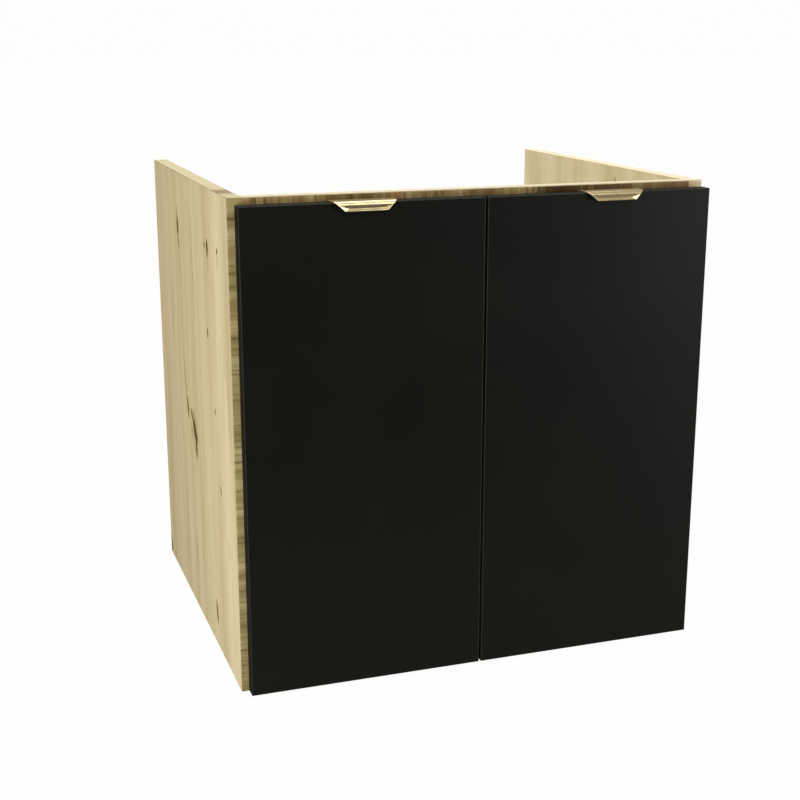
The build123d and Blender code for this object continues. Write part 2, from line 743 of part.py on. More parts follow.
def lip_half_width(drop):
    """Half the lip's width at a drop below the plate's top."""
    taper = (HANDLE_FRONT_WIDTH - LIP_RIM_WIDTH) / (LIP_DROP + RIM_DROP)
    return (HANDLE_FRONT_WIDTH - taper * drop) / 2


def handle_offcuts(x, step):
    """What is cut from the bent sheet at one end: beside the leg, the plate and the lip."""
    top = DOOR_TOP + SHEET
    rear = DOOR_REAR + SHEET
    far = HANDLE_REAR_WIDTH
    beyond = 2 * (LIP_DROP + RIM_DROP)
    beside_leg = block(
        x + step * LEG_WIDTH / 2, x + step * far, DOOR_REAR, rear, top - LEG_HEIGHT, top
    )
    plan = Polyline(
        (x + step * HANDLE_REAR_WIDTH / 2, DOOR_REAR, top),
        (x + step * HANDLE_FRONT_WIDTH / 2, DOOR_FACE, top),
        (x + step * HANDLE_FRONT_WIDTH / 2, DOOR_FACE - beyond, top),
        (x + step * far, DOOR_FACE - beyond, top),
        (x + step * far, DOOR_REAR, top),
        close=True,
    )
    beside_plate = extrude(make_face(plan), amount=beyond, dir=(0, 0, -1))
    front = Polyline(
        (x + step * lip_half_width(0), DOOR_FACE, top),
        (x + step * lip_half_width(beyond), DOOR_FACE, top - beyond),
        (x + step * far, DOOR_FACE, top - beyond),
        (x + step * far, DOOR_FACE, top),
        close=True,
    )
    beside_lip = extrude(make_face(front), amount=beyond, dir=(0, -1, 0))
    return [beside_leg, beside_plate, beside_lip]


def folded_corner(x, step):
    """The flat facet folded across one lower corner of the lip."""
    top = DOOR_TOP + SHEET
    fold = DOOR_FACE - LIP_STANDOFF
    crease = fold - LIP_LEAN
    start = fold - LIP_LEAN * CORNER_FOLD_DROP / LIP_DROP
    rim_drop = LIP_DROP + RIM_DROP
    facet = Polyline(
        (x + step * lip_half_width(CORNER_FOLD_DROP), start, top - CORNER_FOLD_DROP),
        (x + step * lip_half_width(rim_drop), crease - RIM_REACH, top - rim_drop),
        (x + step * LIP_PAN_WIDTH / 2, crease, top - LIP_DROP),
        close=True,
    )
    return extrude(make_face(facet), amount=SHEET, dir=(0, 1, 0))


def handle(side):
    """The edge pull, one bent sheet: leg behind the door, plate over its top and a pan-shaped lip."""
    x = HANDLE_X[side]
    place = Plane(origin=(x, 0, 0), x_dir=(0, 1, 0), z_dir=(1, 0, 0))
    pull = extrude(place * handle_section(), HANDLE_REAR_WIDTH / 2, both=True)
    for step in (-1, 1):
        for offcut in handle_offcuts(x, step):
            pull -= offcut
        pull += folded_corner(x, step)
    foot = pull.edges().filter_by(Axis.Y).sort_by(Axis.Z)[:2]
    pull = fillet(foot, LEG_CORNER)
    for place in handle_screw_places(side):
        hole = Plane(origin=place, z_dir=(0, 1, 0))
        seat = Cone(HANDLE_SCREW_RADIUS + FIT, HANDLE_SCREW_HEAD + FIT, SHEET, align=BOTTOM_ALIGN)
        pull -= hole * seat
    return pull


def handle_screws(side):
    """Countersunk screws, flush in the handle's leg."""
    screws = []
    for place in handle_screw_places(side):
        head = Plane(origin=place, z_dir=(0, 1, 0)) * Cone(
            HANDLE_SCREW_RADIUS, HANDLE_SCREW_HEAD, SHEET, align=BOTTOM_ALIGN
        )
        shank = rod(place, (0, -1, 0), HANDLE_SCREW_RADIUS, HANDLE_SCREW_LENGTH - BORE_SPARE)
        screws.append(head + shank)
    return Compound(children=screws)


# ---------------------------------------------------------------- wall hangers
def hanger_levels():
    """The housings' bottom and top."""
    top = CABINET_HEIGHT - HANGER_DROP
    return top - HANGER_HEIGHT, top


def hanger_screw_places():
    """The hanger screws' places on a side: (y, z)."""
    low, high = hanger_levels()
    y = CARCASS_REAR - HANGER_SETBACK - HANGER_DEPTH + HANGER_SCREW_INSET
    middle = (low + high) / 2
    return [(y, middle + step * HANGER_SCREW_SPACING / 2) for step in (-1, 1)]


def hanger_housing(side):
    """The plastic housing: a shell open to the rear, with a foot plate on the side panel."""
    hand = HAND[side]
    low, high = hanger_levels()
    rear = CARCASS_REAR - HANGER_SETBACK
    front = rear - HANGER_DEPTH
    shell_front = front + HANGER_FOOT
    inner = hand * (INNER_X - HANGER_WIDTH)
    shell = block(hand * INNER_X, inner, shell_front, rear, low, high)
    shell = fillet(shell.edges().filter_by(Axis.Y), HANGER_CORNER)
    cavity = block(
        hand * (INNER_X - HANGER_WALL), inner + hand * HANGER_WALL,
        shell_front + HANGER_WALL, rear, low + HANGER_WALL, high - HANGER_WALL,
    )
    foot = block(
        hand * INNER_X, hand * (INNER_X - HANGER_WALL), front, shell_front + HANGER_WALL, low, high
    )
    housing = shell + foot - cavity
    for y, z in hanger_screw_places():
        housing -= rod((hand * INNER_X, y, z), (-hand, 0, 0), HANGER_SCREW_RADIUS + FIT, HANGER_WALL)
    for z in adjuster_heights():
        start = (adjuster_x(hand), shell_front, z)
        housing -= rod(start, (0, 1, 0), ADJUSTER_RADIUS + FIT, HANGER_WALL)
    return housing


def adjuster_x(hand):
    """The adjusters' line across the housing."""
    return hand * (INNER_X - HANGER_WIDTH / 2)


def adjuster_heights():
    """The two adjusters' heights."""
    low, high = hanger_levels()
    middle = (low + high) / 2
    return [middle - ADJUSTER_SPACING / 2, middle + ADJUSTER_SPACING / 2]


def hanger_hook(side):
    """The steel hook: a bar inside the housing, ending in a claw for the wall plate."""
    hand = HAND[side]
    middle = adjuster_heights()[1]
    rear = CARCASS_REAR - HOOK_TIP_SETBACK
    x0 = adjuster_x(hand) - HOOK_SHEET / 2
    x1 = x0 + HOOK_SHEET
    top = middle + HOOK_BAR / 2
    bar = block(x0, x1, rear - HOOK_LENGTH, rear, top - HOOK_BAR, top)
    claw = block(x0, x1, rear - HOOK_SHEET, rear, top - HOOK_CLAW, top)
    hook = bar + claw
    cross = block(
        adjuster_x(hand) - HOOK_CROSS / 2, adjuster_x(hand) + HOOK_CROSS / 2,
        rear - HOOK_LENGTH, rear - HOOK_LENGTH + HOOK_SHEET,
        adjuster_heights()[0] - HOOK_BAR / 2, top,
    )
    hook += cross
    for z in adjuster_heights():
        start = (adjuster_x(hand), rear - HOOK_LENGTH, z)
        hook -= rod(start, (0, 1, 0), ADJUSTER_RADIUS + FIT, ADJUSTER_LENGTH)
    return hook


def hanger_adjusters(side):
    """The height and depth screws, reached from inside the cabinet."""
    hand = HAND[side]
    shell_front = CARCASS_REAR - HANGER_SETBACK - HANGER_DEPTH + HANGER_FOOT
    screws = [
        rod((adjuster_x(hand), shell_front, z), (0, 1, 0), ADJUSTER_RADIUS, ADJUSTER_LENGTH)
        for z in adjuster_heights()
    ]
    return Compound(children=screws)


def hanger_screws():
    """The screws that hold both housings to the sides."""
    screws = []
    for hand in HAND.values():
        for y, z in hanger_screw_places():
            start = (hand * (INNER_X - HANGER_WALL - HANGER_SCREW_HEAD_HEIGHT), y, z)
            steps = [
                (HANGER_SCREW_HEAD, HANGER_SCREW_HEAD_HEIGHT),
                (HANGER_SCREW_RADIUS, HANGER_WALL + HANGER_SCREW_IN_SIDE),
            ]
            screws.append(turned(start, (hand, 0, 0), steps))
    return Compound(children=screws)


# ---------------------------------------------------------------- the assembly
def main():
    """Builds every node and writes it."""
    os.makedirs("parts", exist_ok=True)
    write("bottom_panel", bottom_panel())
    write("bottom_panel_edging", bottom_edging())
    write("front_rail", front_rail())
    write("front_rail_edging", front_rail_edging())
    write("rear_rail", rear_rail())
    write("rear_rail_edging", rear_rail_edging())
    write("cam_locks", cam_locks())
    write("connecting_bolts", connecting_bolts())
    write("wooden_dowels", wooden_dowels())
    write("hinge_plate_screws", hinge_plate_screws())
    write("hinge_arm_screws", hinge_arm_screws())
    write("hanger_screws", hanger_screws())
    for side in HAND:
        write(side + "_side_panel", side_panel(side))
        write(side + "_side_edging", side_edging(side))
        write(side + "_hanger_housing", hanger_housing(side))
        write(side + "_hanger_hook", hanger_hook(side))
        write(side + "_hanger_adjusters", hanger_adjusters(side))
        write(side + "_door", door(side))
        write(side + "_door_edging", door_edging(side))
        write(side + "_door_bumpers", door_bumpers(side))
        write(side + "_handle", handle(side))
        write(side + "_handle_screws", handle_screws(side))
        write(side + "_cup_screws", cup_screws(side))
        write(side + "_hinge_pins", hinge_pins(side))
        write(side + "_hinge_springs", hinge_springs(side))
        for level, height in HINGE_HEIGHTS.items():
            hinge = side + "_" + level + "_hinge"
            write(hinge + "_cup", hinge_cup(side, height))
            write(hinge + "_arm", hinge_arm(side, height))
            write(hinge + "_plate", hinge_plate(side, height))


main()
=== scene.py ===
"""Looks of a two-door sink base cabinet, built around its packed construction model.

Everything is in metres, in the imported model's frame: X to the right seen from the front, Y to the
wall and Z up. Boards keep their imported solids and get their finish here. Edge bands, handles, hinge
pressings and hangers are finished copies with eased arrises, and every screw is a turned piece with
a thread and a cross recess. A studio with a pale floor and soft light stands round it.
"""

from __future__ import annotations

import json
import logging
import math
from dataclasses import dataclass, field
from enum import Enum, StrEnum

import bmesh
import bpy
from bmesh.types import BMesh, BMVert
from bpy.types import ID, Material, Mesh, Node, NodeSocket, NodeTree, Object
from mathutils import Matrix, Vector

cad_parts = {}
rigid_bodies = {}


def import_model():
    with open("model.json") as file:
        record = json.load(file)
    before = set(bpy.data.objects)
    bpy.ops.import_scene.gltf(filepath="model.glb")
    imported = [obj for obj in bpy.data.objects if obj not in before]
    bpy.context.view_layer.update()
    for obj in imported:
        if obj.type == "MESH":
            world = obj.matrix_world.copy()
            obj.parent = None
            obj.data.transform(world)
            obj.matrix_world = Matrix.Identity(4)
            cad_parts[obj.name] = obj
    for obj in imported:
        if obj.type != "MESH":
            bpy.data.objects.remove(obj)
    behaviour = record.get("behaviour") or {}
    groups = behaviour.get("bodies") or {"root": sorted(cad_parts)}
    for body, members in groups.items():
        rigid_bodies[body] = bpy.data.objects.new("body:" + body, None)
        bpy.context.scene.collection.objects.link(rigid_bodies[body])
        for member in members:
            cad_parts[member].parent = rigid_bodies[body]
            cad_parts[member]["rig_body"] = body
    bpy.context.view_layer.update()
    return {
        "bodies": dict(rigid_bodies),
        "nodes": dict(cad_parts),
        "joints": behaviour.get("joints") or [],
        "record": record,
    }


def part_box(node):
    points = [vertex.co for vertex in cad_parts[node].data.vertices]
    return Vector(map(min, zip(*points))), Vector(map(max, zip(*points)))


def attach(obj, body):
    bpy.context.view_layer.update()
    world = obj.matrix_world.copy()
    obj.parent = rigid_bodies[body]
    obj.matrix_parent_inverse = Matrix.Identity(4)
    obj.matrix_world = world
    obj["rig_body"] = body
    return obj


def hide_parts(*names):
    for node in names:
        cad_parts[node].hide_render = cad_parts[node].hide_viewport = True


LOG = logging.getLogger("sink_base_cabinet")
MM = 0.001
AXES = 3
WELD = 0.002 * MM  # corners that are this close are one
STATION = 0.01 * MM  # corners along a screw that are this close share a height
SAME_RADIUS = 1.03  # two radii of a screw count as one up to this ratio

Pair = tuple[float, float]
Triple = tuple[float, float, float]
Colour = tuple[float, float, float, float]


class Side(StrEnum):
    """The two halves of the cabinet, seen from the front."""

    LEFT = "left"
    RIGHT = "right"


class Level(StrEnum):
    """The two hinges of a door."""

    UPPER = "upper"
    LOWER = "lower"


class Axis(Enum):
    """A direction in the cabinet's frame."""

    X = 0
    Y = 1
    Z = 2


def rgb(red: int, green: int, blue: int) -> Colour:
    """A colour as a screen shows it, made linear for a shader.

    Args:
        red: Red, from 0 to 255.
        green: Green, from 0 to 255.
        blue: Blue, from 0 to 255.

    Returns:
        The linear colour, with full alpha.
    """
    channels = []
    for level in (red, green, blue):
        share = level / 255
        channels.append(share / 12.92 if share <= 0.04045 else ((share + 0.055) / 1.055) ** 2.4)
    return (*channels, 1.0)


# ---- node trees
class Tree:
    """A node tree, with one way of adding a node to it."""

    def __init__(self, tree: NodeTree) -> None:
        """Keeps the tree that the nodes go into."""
        self.tree = tree

    def node(self, kind: str, inputs: dict | None = None, **settings: object) -> Node:
        """Adds a node, makes its settings and then fills its sockets.

        Args:
            kind: The node's type.
            inputs: Values or links, by the socket's name or number.
            settings: Its properties; "stops" gives a ramp's (place, colour) pairs, and "choices" the
                number of values that an index switch picks from.

        Returns:
            The new node.
        """
        made = self.tree.nodes.new(kind)
        for name, value in settings.items():
            if name == "stops":
                elements = made.color_ramp.elements
                while len(elements) < len(value):
                    elements.new(0.5)
                for element, stop in zip(elements, value):
                    element.position, element.color = stop
            elif name == "choices":
                for _ in range(value - len(made.index_switch_items)):
                    made.index_switch_items.new()
            else:
                setattr(made, name, value)
        for key, value in (inputs or {}).items():
            self.fill(made.inputs[key], value)
        return made

    def out(self, kind: str, inputs: dict | None = None, **settings: object) -> NodeSocket:
        """A new node's first output."""
        return self.node(kind, inputs, **settings).outputs[0]

    def number(self, kind: str, inputs: dict | None = None, **settings: object) -> Field:
        """A new node's first output, as a field."""
        return Field(self, self.out(kind, inputs, **settings))

    def fill(self, socket: NodeSocket, value: object) -> None:
        """Links a field or a socket to an input, or sets the input's own value.

        Args:
            socket: The input.
            value: A field, another node's output or a plain value.
        """
        if isinstance(value, Field):
            value = value.socket
        if isinstance(value, NodeSocket):
            self.tree.links.new(value, socket)
        else:
            socket.default_value = value

    def math(self, operation: str, *values: object) -> Field:
        """One Math node's result."""
        return self.number("ShaderNodeMath", dict(enumerate(values)), operation=operation)

    def vector(self, *values: object) -> NodeSocket:
        """Three values as one vector."""
        return self.out("ShaderNodeCombineXYZ", dict(enumerate(values)))


class Field:
    """A number that varies over a piece: a socket that Python's operators work on."""

    def __init__(self, tree: Tree, socket: NodeSocket) -> None:
        """Keeps the socket and its tree."""
        self.tree = tree
        self.socket = socket

    def __add__(self, other: object) -> Field:
        """Sum."""
        return self.tree.math("ADD", self, other)

    __radd__ = __add__

    def __sub__(self, other: object) -> Field:
        """Difference."""
        return self.tree.math("SUBTRACT", self, other)

    def __rsub__(self, other: object) -> Field:
        """Difference, the other way round."""
        return self.tree.math("SUBTRACT", other, self)

    def __mul__(self, other: object) -> Field:
        """Product."""
        return self.tree.math("MULTIPLY", self, other)

    __rmul__ = __mul__

    def __truediv__(self, other: object) -> Field:
        """Quotient."""
        return self.tree.math("DIVIDE", self, other)

    def __rtruediv__(self, other: object) -> Field:
        """Quotient, the other way round."""
        return self.tree.math("DIVIDE", other, self)

    def __pow__(self, other: object) -> Field:
        """Power."""
        return self.tree.math("POWER", self, other)

    def __abs__(self) -> Field:
        """Size without its sign."""
        return self.tree.math("ABSOLUTE", self)

    def at_least(self, other: object) -> Field:
        """The larger of the two."""
        return self.tree.math("MAXIMUM", self, other)

    def clamped(self) -> Field:
        """Held between 0 and 1."""
        return self.tree.math("MINIMUM", self.at_least(0.0), 1.0)

    def eased(self, low: object, high: object) -> Field:
        """0 up to low, 1 from high on, and a smooth rise between them."""
        inputs = {"Value": self, "From Min": low, "From Max": high}
        return self.tree.number("ShaderNodeMapRange", inputs, interpolation_type="SMOOTHSTEP")


class Paint(Tree):
    """One material's shader tree."""

    def __init__(self, name: str) -> None:
        """Makes the material with an empty tree.

        Args:
            name: The material's name.
        """
        self.material = bpy.data.materials.new(name)
        self.material.use_nodes = True
        super().__init__(self.material.node_tree)
        self.tree.nodes.clear()
        self.shader = self.node("ShaderNodeBsdfPrincipled")
        self.node("ShaderNodeOutputMaterial", {"Surface": self.shader.outputs[0]})
        split = self.node("ShaderNodeSeparateXYZ", {0: self.node("ShaderNodeTexCoord").outputs["Object"]})
        self.place = [Field(self, socket) for socket in split.outputs]

    def set(self, **sockets: object) -> None:
        """Sets shader sockets, named with underscores for spaces."""
        for name, value in sockets.items():
            self.fill(self.shader.inputs[name.replace("_", " ")], value)

    def ramp(self, value: Field, places: tuple[float, ...], *tones: Colour) -> NodeSocket:
        """The colour that a value finds among tones that stand at places."""
        return self.out("ShaderNodeValToRGB", {0: value}, stops=list(zip(places, tones)))

    def blend(self, share: object, below: object, above: object) -> NodeSocket:
        """One colour laid over another by a share."""
        return self.node("ShaderNodeMix", {0: share, 6: below, 7: above}, data_type="RGBA").outputs[2]

    def relief(self, height: Field, depth: float, strength: float) -> NodeSocket:
        """A normal that follows a height from 0 to 1, depth metres deep."""
        return self.out("ShaderNodeBump", {"Strength": strength, "Distance": depth, "Height": height})


# ---- finishes
@dataclass(frozen=True)
class Grain:
    """Soft noise, stretched by its counts per metre; one with two of them also has a seed."""

    counts: tuple[float, ...]
    seed: float = 0.0
    detail: float = 2.0
    roughness: float = 0.5
    rise: Pair | None = None  # the noise that gives 0 and the noise that gives the share
    share: float = 1.0

    def over(self, paint: Paint, *places: Field, seed: float = 0.0) -> Field:
        """The grain over a piece.

        Args:
            paint: The material that it is for.
            places: Two or three places in metres, one for each count.
            seed: The board's own seed, which is added to the grain's.

        Returns:
            A value from 0 to 1.
        """
        scaled: list[object] = [place * count for place, count in zip(places, self.counts)]
        if len(scaled) < AXES:
            scaled.append(self.seed + seed)
        look = {"Scale": 1.0, "Detail": self.detail, "Roughness": self.roughness}
        noise = paint.number("ShaderNodeTexNoise", {"Vector": paint.vector(*scaled), **look})
        return noise.eased(*self.rise) * self.share if self.rise else noise


@dataclass(frozen=True)
class Finish:
    """What every finish shares: a name, and a material that is mixed from its fields."""

    name: str

    def material(self) -> Material:
        """The finish as a material."""
        paint = Paint(self.name)
        self.mix(paint)
        return paint.material

    def mix(self, paint: Paint) -> None:
        """Lays out the finish's nodes in an empty material."""
        raise NotImplementedError


@dataclass(frozen=True)
class Check:
    """A dark check or small knot in the decor, a spindle between two points of the board's face.

    The points are (across the grain, along the grain), in metres.
    """

    start: Pair
    end: Pair
    half_width: float
    darkness: float
    tip: float = 0.12  # width at its ends, as a share of half_width
    core: float = 0.2  # width of its even core, as a share of the width there

    def mask(self, across: Field, along: Field) -> Field:
        """How much of the check covers a place.

        Args:
            across: The place across the grain.
            along: The place along the grain.

        Returns:
            A value from 0 outside the check to its darkness on its centre line.
        """
        wide, high = self.end[0] - self.start[0], self.end[1] - self.start[1]
        from_start, up = across - self.start[0], along - self.start[1]
        share = ((from_start * wide + up * high) / (wide * wide + high * high)).clamped()
        aside, beyond = from_start - share * wide, up - share * high
        distance = (aside * aside + beyond * beyond) ** 0.5
        reach = (share * (1.0 - share) * 4.0 + self.tip) * self.half_width
        return (1.0 - distance.eased(reach * self.core, reach)) * self.darkness


@dataclass(frozen=True)
class OakDecor(Finish):
    """Oak-printed board: soft staves in three tints, quiet grain, open pores and a few checks."""

    grain: Axis = Axis.Z
    across: Axis = Axis.Y
    seed: float = 0.0
    checks: tuple[Check, ...] = ()
    stains: tuple[Check, ...] = ()
    # painted light: paler spindles laid where the board should look more brightly lit
    bleached: tuple[Check, ...] = ()
    pale: Colour = rgb(232, 218, 182)
    ground: Colour = rgb(216, 200, 158)
    deep: Colour = rgb(194, 176, 132)
    rosy: Colour = rgb(218, 186, 140)
    olive: Colour = rgb(202, 194, 134)
    line: Colour = rgb(150, 126, 82)
    halo: Colour = rgb(158, 136, 68)
    check: Colour = rgb(58, 36, 4)
    # the paler tone of the painted light
    bleach: Colour = rgb(240, 228, 194)
    gloss: float = 0.1
    roughness: float = 0.46
    wander: Grain = Grain((5.0, 2.2), detail=1.0)
    wander_reach: float = 18.0 * MM
    staves: Grain = Grain((17.0, 1.1), 3.0)
    figure: Grain = Grain((84.0, 3.1), 7.0, 3.0)
    lines: Grain = Grain((300.0, 5.0), 11.0, 3.0, 0.6)
    pores: Grain = Grain((1200.0, 40.0), 17.0)
    loudness: Triple = (0.7, 0.42, 0.2)  # of staves, figure and lines
    darker: float = 0.16
    tones: Triple = (0.26, 0.5, 0.76)  # where deep, ground and pale stand
    warmer: Grain = Grain((26.0, 7.0), 29.0, rise=(0.5, 0.74), share=0.45)
    greener: Grain = Grain((21.0, 2.6), 23.0, rise=(0.48, 0.72), share=0.5)
    line_share: float = 0.3
    pore_share: float = 0.14
    ragged: Grain = Grain((190.0, 75.0))
    ragged_reach: float = 7.0 * MM
    halo_gain: float = 1.6
    check_from: float = 0.34
    check_gain: float = 1.45
    check_dulling: float = 0.4  # added to the roughness where a check is
    relief: float = 0.12 * MM

    def mix(self, paint: Paint) -> None:
        """Lays the staves, the grain and then the checks over each other.

        Args:
            paint: The board's material.
        """
        along = paint.place[self.grain.value]
        across = paint.place[self.across.value]
        drift = across + (self.wander.over(paint, across, along, seed=self.seed) - 0.5) * self.wander_reach
        staves, figure, lines, pores, warmer, greener = (
            layer.over(paint, drift, along, seed=self.seed)
            for layer in (self.staves, self.figure, self.lines, self.pores, self.warmer, self.greener)
        )
        of_staves, of_figure, of_lines = self.loudness
        tone = staves * of_staves + figure * of_figure + lines * of_lines - self.darker
        colour = paint.ramp(tone, self.tones, self.deep, self.ground, self.pale)
        colour = paint.blend(warmer, colour, self.rosy)
        colour = paint.blend(greener, colour, self.olive)
        dark_lines = (1.0 - lines.eased(0.26, 0.42)) * figure.eased(0.42, 0.62)
        colour = paint.blend(dark_lines * self.line_share, colour, self.line)
        dark_pores = (1.0 - pores.eased(0.3, 0.4)) * self.pore_share
        colour = paint.blend(dark_pores, colour, self.line)
        jitter = (self.ragged.over(paint, across, along, seed=self.seed) - 0.5) * self.ragged_reach
        across, along = across + jitter, along + jitter
        # the first group is painted light, the second the decor's own stains
        for group, tint in ((self.bleached, self.bleach), (self.stains, self.line)):
            for spindle in group:
                colour = paint.blend(spindle.mask(across, along), colour, tint)
        marks = lines * 0.0
        for spindle in self.checks:
            marks = marks.at_least(spindle.mask(across, along))
        colour = paint.blend((marks * self.halo_gain).clamped(), colour, self.halo)
        dark = ((marks - self.check_from) * self.check_gain).clamped()
        paint.set(
            Base_Color=paint.blend(dark, colour, self.check),
            Roughness=self.roughness + dark_pores + marks * self.check_dulling,
            Specular_IOR_Level=self.gloss,
            Normal=paint.relief((lines + pores) * 0.5, self.relief, 0.5),
        )


@dataclass(frozen=True)
class Patch:
    """A stretch of an edge band that is darker than the rest, in metres along it."""

    middle: float
    half_length: float
    strength: float
    on_top: bool = False


@dataclass(frozen=True)
class CrossGrain(Finish):
    """Edge band with short streaks across it, in blocks of browner and greener tone."""

    runs: tuple[Axis, ...] = (Axis.Y, Axis.Z)
    slant: Axis = Axis.X
    seed: float = 0.0
    patches: tuple[Patch, ...] = ()
    quiet_axis: Axis = Axis.Z
    quiet_above: float = 9.0  # the place in metres along that axis over which the streaks are faint
    pale: Colour = rgb(212, 194, 148)
    ground: Colour = rgb(174, 154, 104)
    deep: Colour = rgb(126, 102, 56)
    rosy: Colour = rgb(166, 124, 76)
    olive: Colour = rgb(144, 132, 72)
    streak: Colour = rgb(88, 66, 30)
    patch: Colour = rgb(70, 50, 22)
    top: Colour = rgb(216, 203, 166)
    gloss: float = 0.2
    roughness: float = 0.44
    blocks: Grain = Grain((62.0, 5.0))
    tints: Grain = Grain((24.0, 3.0), 5.0, 1.0)
    streaks: Grain = Grain((260.0, 18.0), 9.0, 3.0, 0.65)
    block_share: float = 1.15
    streak_share: float = 0.75
    tint_share: float = 0.6
    quiet_share: float = 0.75
    quiet_rise: float = 0.5 * MM
    tones: Triple = (0.24, 0.5, 0.76)  # where deep, ground and pale stand
    ragged: float = 1.3  # how far the streaks fray a patch, in its half lengths
    relief: float = 0.1 * MM

    def mix(self, paint: Paint) -> None:
        """Lays blocks, streaks and patches over each other, and quiets them on the band's top.

        Args:
            paint: The band's material.
        """
        run = paint.place[self.runs[0].value]
        for axis in self.runs[1:]:
            run = run + paint.place[axis.value]
        side = paint.place[self.slant.value]
        layers = (self.blocks, self.tints, self.streaks)
        blocks, tints, streaks = (layer.over(paint, run, side, seed=self.seed) for layer in layers)
        height = paint.place[self.quiet_axis.value]
        facing = height.eased(self.quiet_above - self.quiet_rise, self.quiet_above)
        loud = 1.0 - facing * self.quiet_share
        tone = ((blocks - 0.5) * self.block_share + (streaks - 0.5) * self.streak_share) * loud + 0.5
        colour = paint.ramp(tone, self.tones, self.deep, self.ground, self.pale)
        tinted = loud * self.tint_share
        colour = paint.blend(tints.eased(0.54, 0.66) * tinted, colour, self.rosy)
        colour = paint.blend((1.0 - tints.eased(0.34, 0.46)) * tinted, colour, self.olive)
        thin = (1.0 - streaks.eased(0.32, 0.44)) * loud
        colour = paint.blend(thin * 0.5, colour, self.streak)
        colour = paint.blend(1.0 - loud, colour, self.top)
        # on the rail, the patches at the handles are partly painted shade
        for patch in self.patches:
            reach = abs(run - patch.middle) / patch.half_length + (streaks - 0.5) * self.ragged
            shade = (1.0 - reach.eased(0.5, 1.2)) * (facing if patch.on_top else loud)
            colour = paint.blend(shade * patch.strength, colour, self.patch)
        paint.set(
            Base_Color=colour, Roughness=self.roughness + thin * 0.12, Specular_IOR_Level=self.gloss,
            Normal=paint.relief(streaks, self.relief, 0.4),
        )


@dataclass(frozen=True)
class MattBlack(Finish):
    """Super-matt black laminate, hardly glossy, with a fine dry texture and painted light at its foot."""

    name: str = "matt_black"
    tone: Colour = (0.0040, 0.0044, 0.0030, 1.0)
    worn: Colour = (0.0070, 0.0068, 0.0048, 1.0)
    # painted light: the doors get lighter towards the bottom
    dusty: Colour = (0.0110, 0.0110, 0.0090, 1.0)
    roughness: float = 0.42
    gloss: float = 0.13
    scraped: Colour | None = None  # tone of a band's front arris: a painted highlight
    front: float = -257.0 * MM  # where that arris is
    arris: Pair = (0.3 * MM, 0.7 * MM)  # where that painted highlight starts to fade and ends
    cloud: Grain = Grain((9.0, 9.0, 9.0), detail=3.0)
    texture: Grain = Grain((2600.0, 2600.0, 2600.0))
    worn_share: float = 0.3
    dusty_share: float = 0.6
    dusty_height: float = 0.42
    relief: float = 0.03 * MM

    def mix(self, paint: Paint) -> None:
        """Lays wear, painted light at the foot and a band's painted arris highlight over the black.

        Args:
            paint: The door's material.
        """
        _, y, z = paint.place
        cloud = self.cloud.over(paint, *paint.place)
        colour = paint.blend(cloud.eased(0.35, 0.75) * self.worn_share, self.tone, self.worn)
        # painted light: lighter towards the bottom of the door
        colour = paint.blend((1.0 - z.eased(0.0, self.dusty_height)) * self.dusty_share, colour, self.dusty)
        # painted highlight along the band's front arris
        if self.scraped:
            fade, end = (self.front + depth for depth in self.arris)
            colour = paint.blend(1.0 - y.eased(fade, end), colour, self.scraped)
        paint.set(
            Base_Color=colour, Roughness=self.roughness + cloud * 0.06, Specular_IOR_Level=self.gloss,
            Normal=paint.relief(self.texture.over(paint, *paint.place), self.relief, 0.35),
        )


@dataclass(frozen=True)
class BrushedGold(Finish):
    """Anodised sheet in dull gold, brushed at a slant round its bends."""

    name: str = "brushed_gold"
    light: Colour = (0.59, 0.49, 0.28, 1.0)
    dark: Colour = (0.40, 0.31, 0.15, 1.0)
    slant: float = 0.75
    hairs: Grain = Grain((2100.0, 90.0), 0.0, 3.0, 0.6)
    bands: Grain = Grain((420.0, 30.0), 4.0)
    roughness: float = 0.26
    relief: float = 0.015 * MM

    def mix(self, paint: Paint) -> None:
        """Draws the brush's hairs and bands along the sheet.

        Args:
            paint: The handles' material.
        """
        x, y, z = paint.place
        strokes = x + (y + z) * self.slant
        hairs, bands = (layer.over(paint, strokes, y - z) for layer in (self.hairs, self.bands))
        tone = (hairs * 0.55 + bands * 0.6 - 0.08).clamped()
        paint.set(
            Base_Color=paint.blend(tone.eased(0.3, 0.72), self.dark, self.light), Metallic=1.0,
            Roughness=self.roughness + hairs * 0.12,
            Normal=paint.relief(hairs * 0.6 + bands * 0.4, self.relief, 0.12),
        )


@dataclass(frozen=True)
class PlatedMetal(Finish):
    """Plated or cast metal with faint drawing lines and a few dull spots."""

    tone: Colour
    roughness: float = 0.22
    relief: float = 0.02 * MM
    drawn: Grain = Grain((700.0, 260.0, 700.0), detail=3.0)
    spots: Grain = Grain((120.0, 120.0, 120.0), detail=3.0, rise=(0.5, 0.8))
    dulling: float = 0.78  # a spot's tone, of the plating's

    def mix(self, paint: Paint) -> None:
        """Lays the dull spots over the plating.

        Args:
            paint: The fitting's material.
        """
        drawn, spots = (layer.over(paint, *paint.place) for layer in (self.drawn, self.spots))
        duller = tuple(channel * self.dulling for channel in self.tone[:3]) + (1.0,)
        paint.set(
            Base_Color=paint.blend(spots * 0.6, self.tone, duller), Metallic=1.0,
            Roughness=self.roughness + spots * 0.16 + drawn * 0.06,
            Normal=paint.relief(drawn, self.relief, 0.5),
        )


